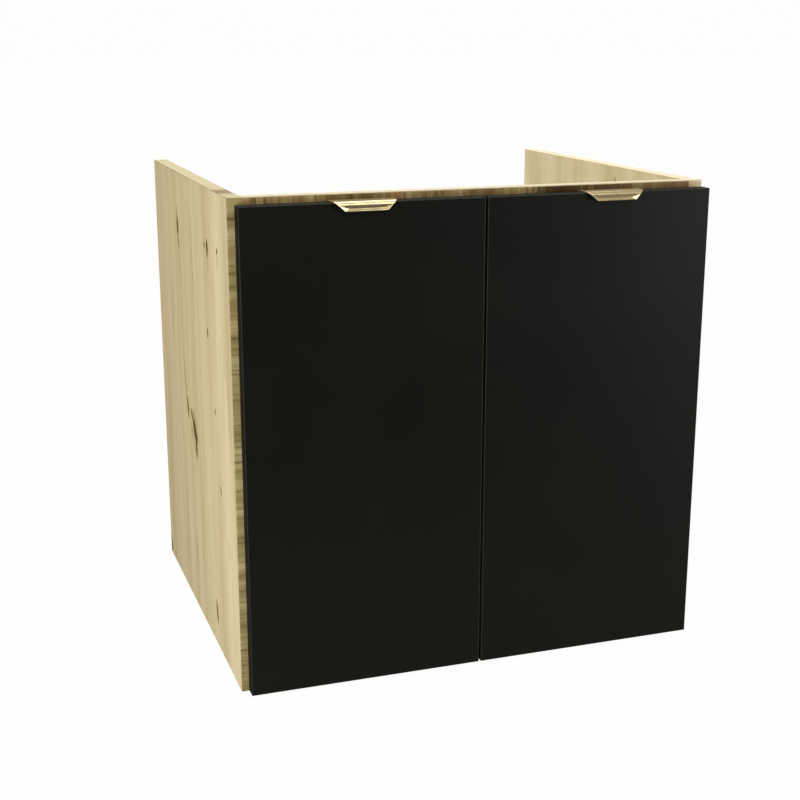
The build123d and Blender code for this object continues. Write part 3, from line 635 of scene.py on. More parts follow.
@dataclass(frozen=True)
class BeechWood(Finish):
    """Raw beech: warm, with short dark flecks along the dowel."""

    name: str = "raw_beech"
    pale: Colour = rgb(222, 190, 148)
    deep: Colour = rgb(188, 148, 104)
    fleck: Colour = rgb(140, 98, 62)
    grain: Grain = Grain((40.0, 500.0, 500.0), detail=3.0)
    flecks: Grain = Grain((260.0, 1500.0, 1500.0))
    roughness: float = 0.62
    relief: float = 0.15 * MM

    def mix(self, paint: Paint) -> None:
        """Lays the flecks over the grain.

        Args:
            paint: The dowels' material.
        """
        grain, flecks = (layer.over(paint, *paint.place) for layer in (self.grain, self.flecks))
        colour = paint.ramp(grain, (0.3, 0.7), self.deep, self.pale)
        paint.set(
            Base_Color=paint.blend((1.0 - flecks.eased(0.28, 0.38)) * 0.6, colour, self.fleck),
            Roughness=self.roughness, Normal=paint.relief(grain, self.relief, 0.5),
        )


@dataclass(frozen=True)
class MouldedPlastic(Finish):
    """Moulded plastic with a fine spark-eroded texture, dull in its low places."""

    tone: Colour
    shade: Colour
    roughness: float = 0.48
    soft: float = 0.0
    soft_reach: float = 2.0 * MM
    grit: Grain = Grain((1500.0, 1500.0, 1500.0))
    cloud: Grain = Grain((30.0, 30.0, 30.0), detail=3.0, rise=(0.3, 0.8), share=0.6)
    relief: float = 0.04 * MM

    def mix(self, paint: Paint) -> None:
        """Lays the shade over the plastic in clouds.

        Args:
            paint: The moulding's material.
        """
        grit, cloud = (layer.over(paint, *paint.place) for layer in (self.grit, self.cloud))
        paint.set(
            Base_Color=paint.blend(cloud, self.tone, self.shade), Roughness=self.roughness + grit * 0.1,
            Subsurface_Weight=self.soft, Subsurface_Radius=(self.soft_reach,) * AXES,
            Normal=paint.relief(grit, self.relief, 0.5),
        )


def spindles(*rows: tuple[float, ...]) -> tuple[Check, ...]:
    """Makes checks from rows of numbers.

    Args:
        rows: Both ends and half a width in millimetres, then a darkness.

    Returns:
        The checks.
    """
    return tuple(
        Check((x0 * MM, z0 * MM), (x1 * MM, z1 * MM), half * MM, darkness)
        for x0, z0, x1, z1, half, darkness in rows
    )


LEFT_SIDE_CHECKS = spindles(
    (94, 556, 89, 534, 4.5, 0.45), (89.5, 543, 88.5, 512, 8.5, 0.95),
    (88.5, 516, 84.5, 498, 6, 0.55), (77.5, 326, 68, 294, 5, 0.4),
    (69.5, 299, 60, 268, 8, 0.75), (46, 287, 27, 272, 6.5, 0.7),
    (29, 277, 8, 248, 12, 0.95), (12, 262, 7, 244, 13, 0.85),
    (15, 248, 8, 224, 8, 0.8), (20, 288, 12, 270, 4, 0.35),
    (44.5, 266, 34, 244, 4.5, 0.4), (-112.5, 537, -113, 513, 8, 0.9),
    (-113, 516, -116, 490, 4, 0.35), (-94.5, 532, -97, 524, 5.5, 0.75),
    (-171.5, 536, -173, 526, 6, 0.7), (-173, 530, -174, 508, 4, 0.35),
    (-95, 426, -98.5, 412, 6.5, 0.7), (-126.5, 331, -127, 322, 5, 0.6),
    (-146.5, 236, -147.5, 224, 5, 0.6), (-91.5, 64, -98.5, 28, 6.5, 0.9),
    (-186, 178, -187, 150, 3.5, 0.3), (264, 30, 258, 0, 10, 0.95),
)
LEFT_SIDE_STAINS = spindles(
    (85.2, 508, 83, 440, 6, 0.45), (83.2, 450, 85, 350, 6, 0.28),
    (84.5, 370, 70, 290, 7.5, 0.42), (-5, 560, -10, 420, 9, 0.3),
    (145, 450, 159, 340, 7, 0.35), (28, 290, 6, 225, 30, 0.4),
    (35, 110, 33, 50, 6, 0.4),
)
# painted light: a paler stretch near the front of the left side, from mid-height down
LEFT_SIDE_PAINTED_LIGHT = spindles((-195, 380, -205, -300, 48, 0.42))
RIGHT_SIDE_CHECKS = spindles(
    (-40, 585, -42, 574, 3, 0.6), (-120, 360, -118, 318, 4, 0.75),
    (80, 210, 92, 130, 4.4, 0.8), (140, 470, 143, 440, 3.2, 0.65),
)
RIGHT_SIDE_STAINS = spindles(
    (-118, 320, -104, 200, 7, 0.45), (84, 300, 80, 205, 8, 0.45),
    (20, 560, 26, 440, 7, 0.35),
)
BOTTOM_CHECKS = spindles(
    (-60, 120, -66, 190, 6, 0.8), (110, -170, 108, -130, 5, 0.7),
)
# dark patches of the rail's front face: decor, and where they lie at the handles also painted shade from
# the handles
RAIL_PATCHES_AND_HANDLE_SHADE = (
    Patch(-0.148, 0.045, 0.62),
    Patch(0.010, 0.022, 0.50),
    Patch(0.112, 0.042, 0.95),
    Patch(0.170, 0.032, 0.88),
    Patch(-0.050, 0.040, 0.28),
    Patch(0.242, 0.055, 0.46),
)
LEFT_BAND_PATCHES = (Patch(0.425, 0.026, 0.6, True),)
BAND_TOP = 0.5995  # the height of the side bands' upper faces


class Finishes:
    """Every finish of the cabinet, mixed once."""

    def __init__(self) -> None:
        """Mixes the materials."""
        # the left side carries a stretch of painted light
        self.left_board = OakDecor(
            "oak_left", seed=1.3, checks=LEFT_SIDE_CHECKS, stains=LEFT_SIDE_STAINS,
            bleached=LEFT_SIDE_PAINTED_LIGHT,
        ).material()
        self.right_board = OakDecor(
            "oak_right", seed=9.1, checks=RIGHT_SIDE_CHECKS, stains=RIGHT_SIDE_STAINS,
            pale=rgb(244, 231, 196), ground=rgb(233, 218, 178), deep=rgb(214, 197, 154),
        ).material()
        self.bottom_board = OakDecor(
            "oak_bottom", grain=Axis.X, across=Axis.Y, seed=17.7, checks=BOTTOM_CHECKS
        ).material()
        self.rear_board = OakDecor("oak_rear", grain=Axis.X, across=Axis.Z, seed=25.2).material()
        # the rail's patches at the handles are partly painted shade
        self.rail_board = CrossGrain(
            "oak_rail", runs=(Axis.X,), slant=Axis.Z, seed=4.0, patches=RAIL_PATCHES_AND_HANDLE_SHADE,
            pale=rgb(200, 178, 128), ground=rgb(168, 144, 92), deep=rgb(126, 100, 52),
            rosy=rgb(160, 118, 68), olive=rgb(140, 126, 66), streak=rgb(84, 62, 26),
            top=rgb(208, 192, 148), quiet_axis=Axis.Y, quiet_above=-0.2347,
        ).material()
        self.rail_band = CrossGrain(
            "oak_rail_band", runs=(Axis.X,), slant=Axis.Y, seed=6.0, quiet_above=0.1,
            top=rgb(198, 188, 162),
        ).material()
        self.left_band = CrossGrain(
            "oak_left_band", seed=2.0, patches=LEFT_BAND_PATCHES, quiet_above=BAND_TOP,
            pale=rgb(200, 187, 140), ground=rgb(171, 156, 106), deep=rgb(136, 119, 71),
            rosy=rgb(158, 130, 84), olive=rgb(152, 140, 90), streak=rgb(98, 80, 42),
            top=rgb(178, 167, 136), patch=rgb(98, 58, 26),
        ).material()
        self.right_band = CrossGrain(
            "oak_right_band", seed=12.0, quiet_above=BAND_TOP, top=rgb(204, 194, 164),
            pale=rgb(226, 213, 176), ground=rgb(202, 188, 148), deep=rgb(168, 148, 102),
            rosy=rgb(194, 164, 120), olive=rgb(184, 174, 120), streak=rgb(130, 108, 66),
        ).material()
        self.black = MattBlack().material()
        # the bands get a painted highlight on their front arris
        self.black_band = MattBlack(
            "matt_black_band", gloss=0.07, roughness=0.5, scraped=(0.030, 0.029, 0.023, 1.0)
        ).material()
        self.gold = BrushedGold().material()
        self.nickel = PlatedMetal("nickel_plate", (0.66, 0.65, 0.62, 1.0)).material()
        self.zinc_plate = PlatedMetal("zinc_plate", (0.70, 0.71, 0.70, 1.0), 0.3).material()
        self.cast_zinc = PlatedMetal("cast_zinc", (0.52, 0.53, 0.54, 1.0), 0.42, 0.00006).material()
        self.beech = BeechWood().material()
        self.moulded = MouldedPlastic(
            "hanger_plastic", rgb(228, 227, 220), rgb(206, 205, 198)
        ).material()
        self.pad = MouldedPlastic(
            "soft_pad", rgb(214, 214, 210), rgb(188, 188, 184), 0.35, 0.2
        ).material()


# ---- meshes
def welded(source: Object) -> BMesh:
    """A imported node's surface with its doubled corners joined, which the caller frees.

    Args:
        source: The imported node.

    Returns:
        A new bmesh.
    """
    body = bmesh.new()
    body.from_mesh(source.data)
    bmesh.ops.remove_doubles(body, verts=body.verts, dist=WELD)
    return body


def smooth_by_angle(body: BMesh, degrees: float) -> None:
    """Shades a mesh smooth, with sharp edges where its faces turn by more than an angle.

    Args:
        body: The mesh.
        degrees: The angle.
    """
    limit = math.radians(degrees)
    for face in body.faces:
        face.smooth = True
    for edge in body.edges:
        edge.smooth = len(edge.link_faces) == 2 and edge.calc_face_angle(math.pi) < limit


def placed(name: str, data: ID) -> Object:
    """Adds an object to the scene.

    Args:
        name: The object's name.
        data: Its mesh, light or camera.

    Returns:
        The new object.
    """
    made = bpy.data.objects.new(name, data)
    bpy.context.scene.collection.objects.link(made)
    return made


def new_object(name: str, body: BMesh, material: Material) -> Object:
    """Turns a bmesh into a scene object with one material, and frees it.

    Args:
        name: The object's name.
        body: The bmesh.
        material: The object's only material.

    Returns:
        The object.
    """
    mesh = bpy.data.meshes.new(name)
    body.to_mesh(mesh)
    body.free()
    for attribute in [a for a in mesh.attributes if a.name == "custom_normal"]:
        mesh.attributes.remove(attribute)
    mesh.materials.append(material)
    for polygon in mesh.polygons:
        polygon.material_index = 0
    return placed(name, mesh)


def shape(piece: Object, kind: str, **settings: object) -> None:
    """Gives a piece one more modifier.

    Args:
        piece: The piece.
        kind: The modifier's type.
        settings: Its properties.
    """
    made = piece.modifiers.new(kind, kind)
    for name, value in settings.items():
        setattr(made, name, value)


def baked(piece: Object) -> Mesh:
    """A piece's mesh with its modifiers applied."""
    return bpy.data.meshes.new_from_object(piece.evaluated_get(bpy.context.evaluated_depsgraph_get()))


def islands(source: Object) -> list[list[Vector]]:
    """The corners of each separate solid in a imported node.

    Args:
        source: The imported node.

    Returns:
        One list of corners for each solid.
    """
    body = welded(source)
    seen: set[BMVert] = set()
    found = []
    for start in body.verts:
        if start in seen:
            continue
        seen.add(start)
        group = [start]
        for corner in group:
            beside = [edge.other_vert(corner) for edge in corner.link_edges]
            group += [other for other in beside if other not in seen]
            seen.update(beside)
        found.append([corner.co.copy() for corner in group])
    body.free()
    return found


# ---- turned pieces
@dataclass(frozen=True)
class TurnedPiece:
    """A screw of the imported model: its crown's centre, its way and its sizes in metres."""

    crown: Vector
    way: Vector
    crown_radius: float
    neck_radius: float
    head_height: float
    shank_radius: float
    length: float

    @classmethod
    def measured(cls, corners: list[Vector]) -> TurnedPiece:
        """Reads a turned solid's sizes from its corners.

        Args:
            corners: The solid's corners; it is turned about X, Y or Z.

        Returns:
            The piece, its way running from the thicker end to the thinner.
        """
        low, high = (Vector(pick(c[i] for c in corners) for i in range(AXES)) for pick in (min, max))
        size, middle = high - low, (low + high) / 2
        axis = min(range(AXES), key=lambda i: abs(size[(i + 1) % AXES] - size[(i + 2) % AXES]))
        stations: dict[int, list[float]] = {}
        for corner in corners:
            aside = corner - middle
            aside[axis] = 0.0
            stations.setdefault(round((corner[axis] - low[axis]) / STATION), []).append(aside.length)
        keys = sorted(stations)
        head_high = max(stations[keys[-1]]) > max(stations[keys[0]])
        if head_high:
            keys.reverse()
        crown_radius, shank = max(stations[keys[0]]), max(stations[keys[-1]])
        neck = next((k for k in keys[1:] if min(stations[k]) <= shank * SAME_RADIUS), keys[-1])
        crown, way = middle.copy(), Vector()
        crown[axis] = high[axis] if head_high else low[axis]
        way[axis] = -1.0 if head_high else 1.0
        head = abs(neck - keys[0]) * STATION
        return cls(crown, way, crown_radius, max(stations[neck]), head, shank, size[axis])


@dataclass(frozen=True)
class ScrewStyle:
    """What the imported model's plain shanks leave out, as shares of a screw's own radii."""

    crown_share: float = 0.8  # crown radius of the head's radius
    crown_height_share: float = 0.4  # of the head's height
    thread_pitch: float = 1.6 * MM
    thread_share: float = 0.2  # thread depth of the shank's radius
    tip_radii: float = 1.6  # tip length in shank radii
    recess_share: float = 1.15  # cross length of the head's radius
    recess_width_share: float = 0.24
    recess_depth_share: float = 0.6  # of the head's height
    headless: float = 1.6 * MM  # length of a headless screw that counts as its head
    blunt: float = 0.4  # the tip's end radius, as a share of the core's
    dome: Pair = (0.6, 0.3)  # its middle: share of the way to the rim, and of the crown's height


class ScrewTree(Tree):
    """Geometry Nodes that turn one screw and set a copy on every point, along its own way."""

    SIDES = 28
    TURN_STEPS = 18
    THREAD_SIDES = 3
    SEAM = 0.001 * MM
    SECOND_BAR = 1.06  # depth of the cross's second bar, of the first one's
    THREAD_START = 0.25  # where the thread starts below the head, in pitches
    THREAD_REST = 0.5  # what it leaves free of the straight shank, in pitches

    def __init__(self, style: ScrewStyle, piece: TurnedPiece, metal: Material) -> None:
        """Lays out the tree.

        Args:
            style: The kind of screw.
            piece: A packed screw, which gives the sizes.
            metal: The screws' finish.
        """
        super().__init__(bpy.data.node_groups.new("turned_screws", "GeometryNodeTree"))
        for way, name in (("INPUT", "Points"), ("OUTPUT", "Screws")):
            self.tree.interface.new_socket(name, in_out=way, socket_type="NodeSocketGeometry")
        self.style = style
        self.piece = piece
        headless = piece.crown_radius <= piece.shank_radius * SAME_RADIUS
        self.head = style.headless if headless else piece.head_height
        self.ridge = piece.shank_radius * style.thread_share
        self.core = piece.shank_radius - self.ridge
        self.shoulder = piece.length - piece.shank_radius * style.tip_radii
        screw = self.node("GeometryNodeJoinGeometry")
        for part in (self._recessed(self._body()), self._thread()):
            self.fill(screw.inputs[0], part)
        along = self.out("GeometryNodeInputNamedAttribute", {"Name": "way"}, data_type="FLOAT_VECTOR")
        turn = self.out("FunctionNodeAlignRotationToVector", {"Vector": along}, axis="Z")
        copies = {"Points": self.out("NodeGroupInput"), "Instance": screw.outputs[0], "Rotation": turn}
        instances = self.out("GeometryNodeInstanceOnPoints", copies)
        real = self.out("GeometryNodeRealizeInstances", {0: instances})
        painted = self.out("GeometryNodeSetMaterial", {"Geometry": real, "Material": metal})
        self.node("NodeGroupOutput", {0: painted})

    def _chosen(self, row: Field, values: tuple[float, ...]) -> Field:
        """The value that stands at a row."""
        inputs = {0: row, **dict(enumerate(values, start=1))}
        return self.number("GeometryNodeIndexSwitch", inputs, data_type="FLOAT", choices=len(values))

    def _body(self) -> NodeSocket:
        """The domed head, the core and its tip, turned in one about Z.

        Returns:
            Their mesh.
        """
        style, rim, core = self.style, self.piece.crown_radius, self.core
        crown, top = rim * style.crown_share, self.head * style.crown_height_share
        outwards, upwards = style.dome
        profile = (
            (0.0, 0.0), (crown, 0.0), (crown + (rim - crown) * outwards, top * upwards), (rim, top),
            (self.piece.neck_radius, self.head), (core, self.head), (core, self.shoulder),
            (core * style.blunt, self.piece.length), (0.0, self.piece.length),
        )
        seam = self.SIDES + 1
        grid = self.out("GeometryNodeMeshGrid", {"Vertices X": len(profile), "Vertices Y": seam})
        index = self.number("GeometryNodeInputIndex")
        row = self.math("FLOOR", (index + 0.5) / seam)
        angle = (index - row * seam) * (2.0 * math.pi / self.SIDES)
        radius, height = (self._chosen(row, values) for values in zip(*profile))
        where = self.vector(radius * self.math("COSINE", angle), radius * self.math("SINE", angle), height)
        shaped = self.out("GeometryNodeSetPosition", {"Geometry": grid, "Position": where})
        return self.out("GeometryNodeMergeByDistance", {"Geometry": shaped, "Distance": self.SEAM})

    def _recessed(self, body: NodeSocket) -> NodeSocket:
        """The body with a cross cut into its head.

        Args:
            body: The body's mesh.

        Returns:
            The cut mesh.
        """
        wide, narrow = (
            self.piece.crown_radius * share
            for share in (self.style.recess_share, self.style.recess_width_share)
        )
        deep = self.head * self.style.recess_depth_share * 2.0
        for bar in ((wide, narrow, deep), (narrow, wide, deep * self.SECOND_BAR)):
            tool = self.out("GeometryNodeMeshCube", {"Size": bar})
            meshes = {"Mesh 1": body, "Mesh 2": tool}
            body = self.out("GeometryNodeMeshBoolean", meshes, operation="DIFFERENCE")
        return body

    def _thread(self) -> NodeSocket:
        """The thread wound round the core.

        Returns:
            Its mesh.
        """
        pitch = self.style.thread_pitch
        wound = self.shoulder - self.head - pitch * self.THREAD_REST
        core = {"Start Radius": self.core, "End Radius": self.core}
        run = {"Resolution": self.TURN_STEPS, "Rotations": wound / pitch, "Height": wound}
        spiral = self.out("GeometryNodeCurveSpiral", {**core, **run})
        ridge = {"Resolution": self.THREAD_SIDES, "Radius": self.ridge}
        profile = self.out("GeometryNodeCurvePrimitiveCircle", ridge, mode="RADIUS")
        curves = {"Curve": spiral, "Profile Curve": profile, "Fill Caps": True}
        thread = self.out("GeometryNodeCurveToMesh", curves)
        start = (0.0, 0.0, self.head + pitch * self.THREAD_START)
        return self.out("GeometryNodeTransform", {"Geometry": thread, "Translation": start})

    def grow(self, pieces: list[TurnedPiece]) -> Mesh:
        """Sets a screw on the crown of every piece and bakes them.

        Args:
            pieces: Packed screws that share their sizes.

        Returns:
            The screws as a plain mesh.
        """
        cloud = bpy.data.meshes.new("screw_places")
        cloud.from_pydata([piece.crown for piece in pieces], [], [])
        ways = cloud.attributes.new("way", "FLOAT_VECTOR", "POINT")
        for slot, piece in zip(ways.data, pieces):
            slot.vector = piece.way
        places = placed("screw_places", cloud)
        shape(places, "NODES", node_group=self.tree)
        mesh = baked(places)
        bpy.data.objects.remove(places)
        return mesh


PAN_HEAD = ScrewStyle()
FLAT_HEAD = ScrewStyle(crown_share=0.995, crown_height_share=0.02, recess_share=1.2)
MACHINE_HEAD = ScrewStyle(crown_share=0.9, thread_pitch=0.9 * MM, thread_share=0.12, tip_radii=0.3)
GRUB = ScrewStyle(
    crown_share=0.9, crown_height_share=0.5, thread_pitch=1.0 * MM, thread_share=0.12, tip_radii=0.4,
    recess_share=1.1, recess_depth_share=0.8,
)


# ---- sub-assemblies
@dataclass
class SubAssembly:
    """What every sub-assembly shares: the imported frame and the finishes."""

    frame: dict
    finishes: Finishes
    arris: float = 0.2 * MM
    arris_angle: float = 32.0  # degrees from which an edge counts as an arris
    arris_shape: float = 0.6  # how full it is rounded
    flat_angle: float = 0.4  # degrees up to which two faces count as one
    band_thickness: float = 1.0 * MM
    band_arris: float = 0.5 * MM
    band_steps: int = 4
    band_angle: float = 50.0
    screw_angle: float = 34.0
    screw_length_step: float = 0.1 * MM  # screws whose lengths differ by less are alike

    def dress(self, material: Material, *nodes: str) -> None:
        """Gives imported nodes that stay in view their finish.

        Args:
            material: The finish.
            nodes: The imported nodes.
        """
        for node in nodes:
            for place in self.frame["nodes"][node].material_slots:
                place.material = material
            LOG.info("dressed %s", node)

    def finished(self, node: str, material: Material, arris: float = 0.0) -> None:
        """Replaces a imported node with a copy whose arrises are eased.

        Args:
            node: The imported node.
            material: Its finish.
            arris: How far the arrises are eased, in metres; the sub-assembly's own where it is 0.
        """
        body = welded(self.frame["nodes"][node])
        bmesh.ops.dissolve_limit(
            body, angle_limit=math.radians(self.flat_angle), verts=body.verts, edges=body.edges,
            delimit=set(),
        )
        limit = math.radians(self.arris_angle)
        sharp = [e for e in body.edges if len(e.link_faces) == 2 and e.calc_face_angle() > limit]
        bmesh.ops.bevel(
            body, geom=sharp, offset=arris or self.arris, offset_type="OFFSET", segments=2,
            profile=self.arris_shape, affect="EDGES", clamp_overlap=True,
        )
        smooth_by_angle(body, self.arris_angle)
        self.hand_over(new_object(f"{node}_finished", body, material), node)

    def hand_over(self, piece: Object, node: str) -> None:
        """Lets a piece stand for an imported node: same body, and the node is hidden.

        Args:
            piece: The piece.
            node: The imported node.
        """
        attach(piece, self.frame["nodes"][node]["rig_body"])
        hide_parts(node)
        LOG.info("%s stands for %s, %d faces", piece.name, node, len(piece.data.polygons))

    def ring(self, node: str, material: Material, through: Axis) -> None:
        """Lays four bands round a board as one mitred ring with eased outer arrises.

        Args:
            node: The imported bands.
            material: Their finish.
            through: The axis of the board's thickness.
        """
        low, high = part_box(node)
        t = through.value
        u, v = (axis for axis in range(AXES) if axis != t)
        rise = [math.radians(90.0 * step / self.band_steps) for step in range(self.band_steps, -1, -1)]
        eased = self.band_arris
        near = [(low[t] + eased * (1 - math.sin(a)), eased * (1 - math.cos(a))) for a in rise]
        profile = [(low[t], self.band_thickness), *near]
        profile += [(low[t] + high[t] - depth, inset) for depth, inset in reversed(profile)]
        body = bmesh.new()
        rings = []
        for depth, inset in profile:
            rings.append([])
            for far_u, far_v in ((False, False), (True, False), (True, True), (False, True)):
                place = Vector()
                place[t] = depth
                place[u] = high[u] - inset if far_u else low[u] + inset
                place[v] = high[v] - inset if far_v else low[v] + inset
                rings[-1].append(body.verts.new(place))
        for here, there in zip(rings, rings[1:] + rings[:1]):
            for i, corner in enumerate(here):
                after = (i + 1) % len(here)
                body.faces.new((corner, here[after], there[after], there[i]))
        bmesh.ops.recalc_face_normals(body, faces=body.faces)
        smooth_by_angle(body, self.band_angle)
        self.hand_over(new_object(f"{node}_finished", body, material), node)

    def turned_screws(self, node: str, style: ScrewStyle, material: Material) -> None:
        """Replaces a packed group of plain screws with threaded ones that have a cross recess.

        Args:
            node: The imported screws.
            style: Their kind.
            material: Their finish.
        """
        lengths: dict[int, list[TurnedPiece]] = {}
        for group in islands(self.frame["nodes"][node]):
            piece = TurnedPiece.measured(group)
            lengths.setdefault(round(piece.length / self.screw_length_step), []).append(piece)
        body = bmesh.new()
        for alike in lengths.values():
            body.from_mesh(ScrewTree(style, alike[0], material).grow(alike))
        bmesh.ops.recalc_face_normals(body, faces=body.faces)
        smooth_by_angle(body, self.screw_angle)
        self.hand_over(new_object(f"{node}_turned", body, material), node)


@dataclass
class Carcass(SubAssembly):
    """Boards with their decor, and edge bands with an eased outer arris."""

    def build(self) -> None:
        """Dresses the boards and finishes the bands."""
        paints = self.finishes
        self.dress(paints.left_board, "left_side_panel")
        self.dress(paints.right_board, "right_side_panel")
        self.dress(paints.bottom_board, "bottom_panel")
        self.dress(paints.rear_board, "rear_rail")
        self.dress(paints.rail_board, "front_rail")
        self.ring("left_side_edging", paints.left_band, Axis.X)
        self.ring("right_side_edging", paints.right_band, Axis.X)
        self.dress(paints.rail_band, "bottom_panel_edging", "front_rail_edging", "rear_rail_edging")


@dataclass
class BoardJoints(SubAssembly):
    """Cams, bolts and dowels that pull the boards together."""

    arris: float = 0.25 * MM

    def build(self) -> None:
        """Finishes the cams and dresses what is sunk in the boards."""
        self.finished("cam_locks", self.finishes.cast_zinc)
        self.dress(self.finishes.zinc_plate, "connecting_bolts")
        self.dress(self.finishes.beech, "wooden_dowels")


@dataclass
class WallHangers(SubAssembly):
    """Plastic housings at the rear with their steel hooks and adjusters."""

    arris: float = 0.4 * MM
    hook_arris: float = 0.25 * MM

    def build(self) -> None:
        """Finishes both hangers."""
        plated = self.finishes.zinc_plate
        for side in Side:
            self.finished(f"{side}_hanger_housing", self.finishes.moulded)
            self.finished(f"{side}_hanger_hook", plated, self.hook_arris)
            self.turned_screws(f"{side}_hanger_adjusters", GRUB, plated)
        self.turned_screws("hanger_screws", PAN_HEAD, plated)


@dataclass
class Hinges(SubAssembly):
    """Cup hinges: pressed cups, bent arms, mounting plates, pins and closing springs."""

    def build(self) -> None:
        """Finishes all four hinges."""
        nickel, plated = self.finishes.nickel, self.finishes.zinc_plate
        for side in Side:
            for level in Level:
                for piece in ("cup", "arm", "plate"):
                    self.finished(f"{side}_{level}_hinge_{piece}", nickel)
            self.dress(plated, f"{side}_hinge_pins", f"{side}_hinge_springs")
            self.turned_screws(f"{side}_cup_screws", PAN_HEAD, plated)
        self.turned_screws("hinge_plate_screws", PAN_HEAD, plated)
        self.turned_screws("hinge_arm_screws", MACHINE_HEAD, nickel)


@dataclass
class Doors(SubAssembly):
    """Matt black leaves with their eased bands and soft pads."""

    band_arris: float = 0.4 * MM

    def build(self) -> None:
        """Finishes both doors."""
        for side in Side:
            self.dress(self.finishes.black, f"{side}_door")
            self.ring(f"{side}_door_edging", self.finishes.black_band, Axis.Y)
            self.dress(self.finishes.pad, f"{side}_door_bumpers")


@dataclass(frozen=True)
class SectionPoint:
    """A point of a bent sheet's outer face, seen from the end, and whether it is on the leg."""

    y: float
    z: float
    leg: bool = False


@dataclass(frozen=True)
class FoldedCorner:
    """A flat corner folded forward on both sides of a lip.

    Its points are (distance from the middle, drop, y), in metres.
    """

    upper: Vector
    outer: Vector
    inner: Vector
    softness: float = 0.15 * MM

    def face(self, aside: float, drop: float, y: float) -> float:
        """Where the lip's face is, given where it would be without the fold.

        Args:
            aside: The place's distance from the middle.
            drop: Its drop.
            y: Where the unfolded face is.

        Returns:
            The folded face's y.
        """
        below = drop - self.upper.y
        if below <= 0:
            return y
        normal = (self.outer - self.upper).cross(self.inner - self.upper)
        flat = self.upper.z - (normal.x * (abs(aside) - self.upper.x) + normal.y * below) / normal.z
        gap = flat - y
        soft = self.softness * min(1.0, below / MM)
        return y + (gap - math.hypot(gap, soft)) / 2


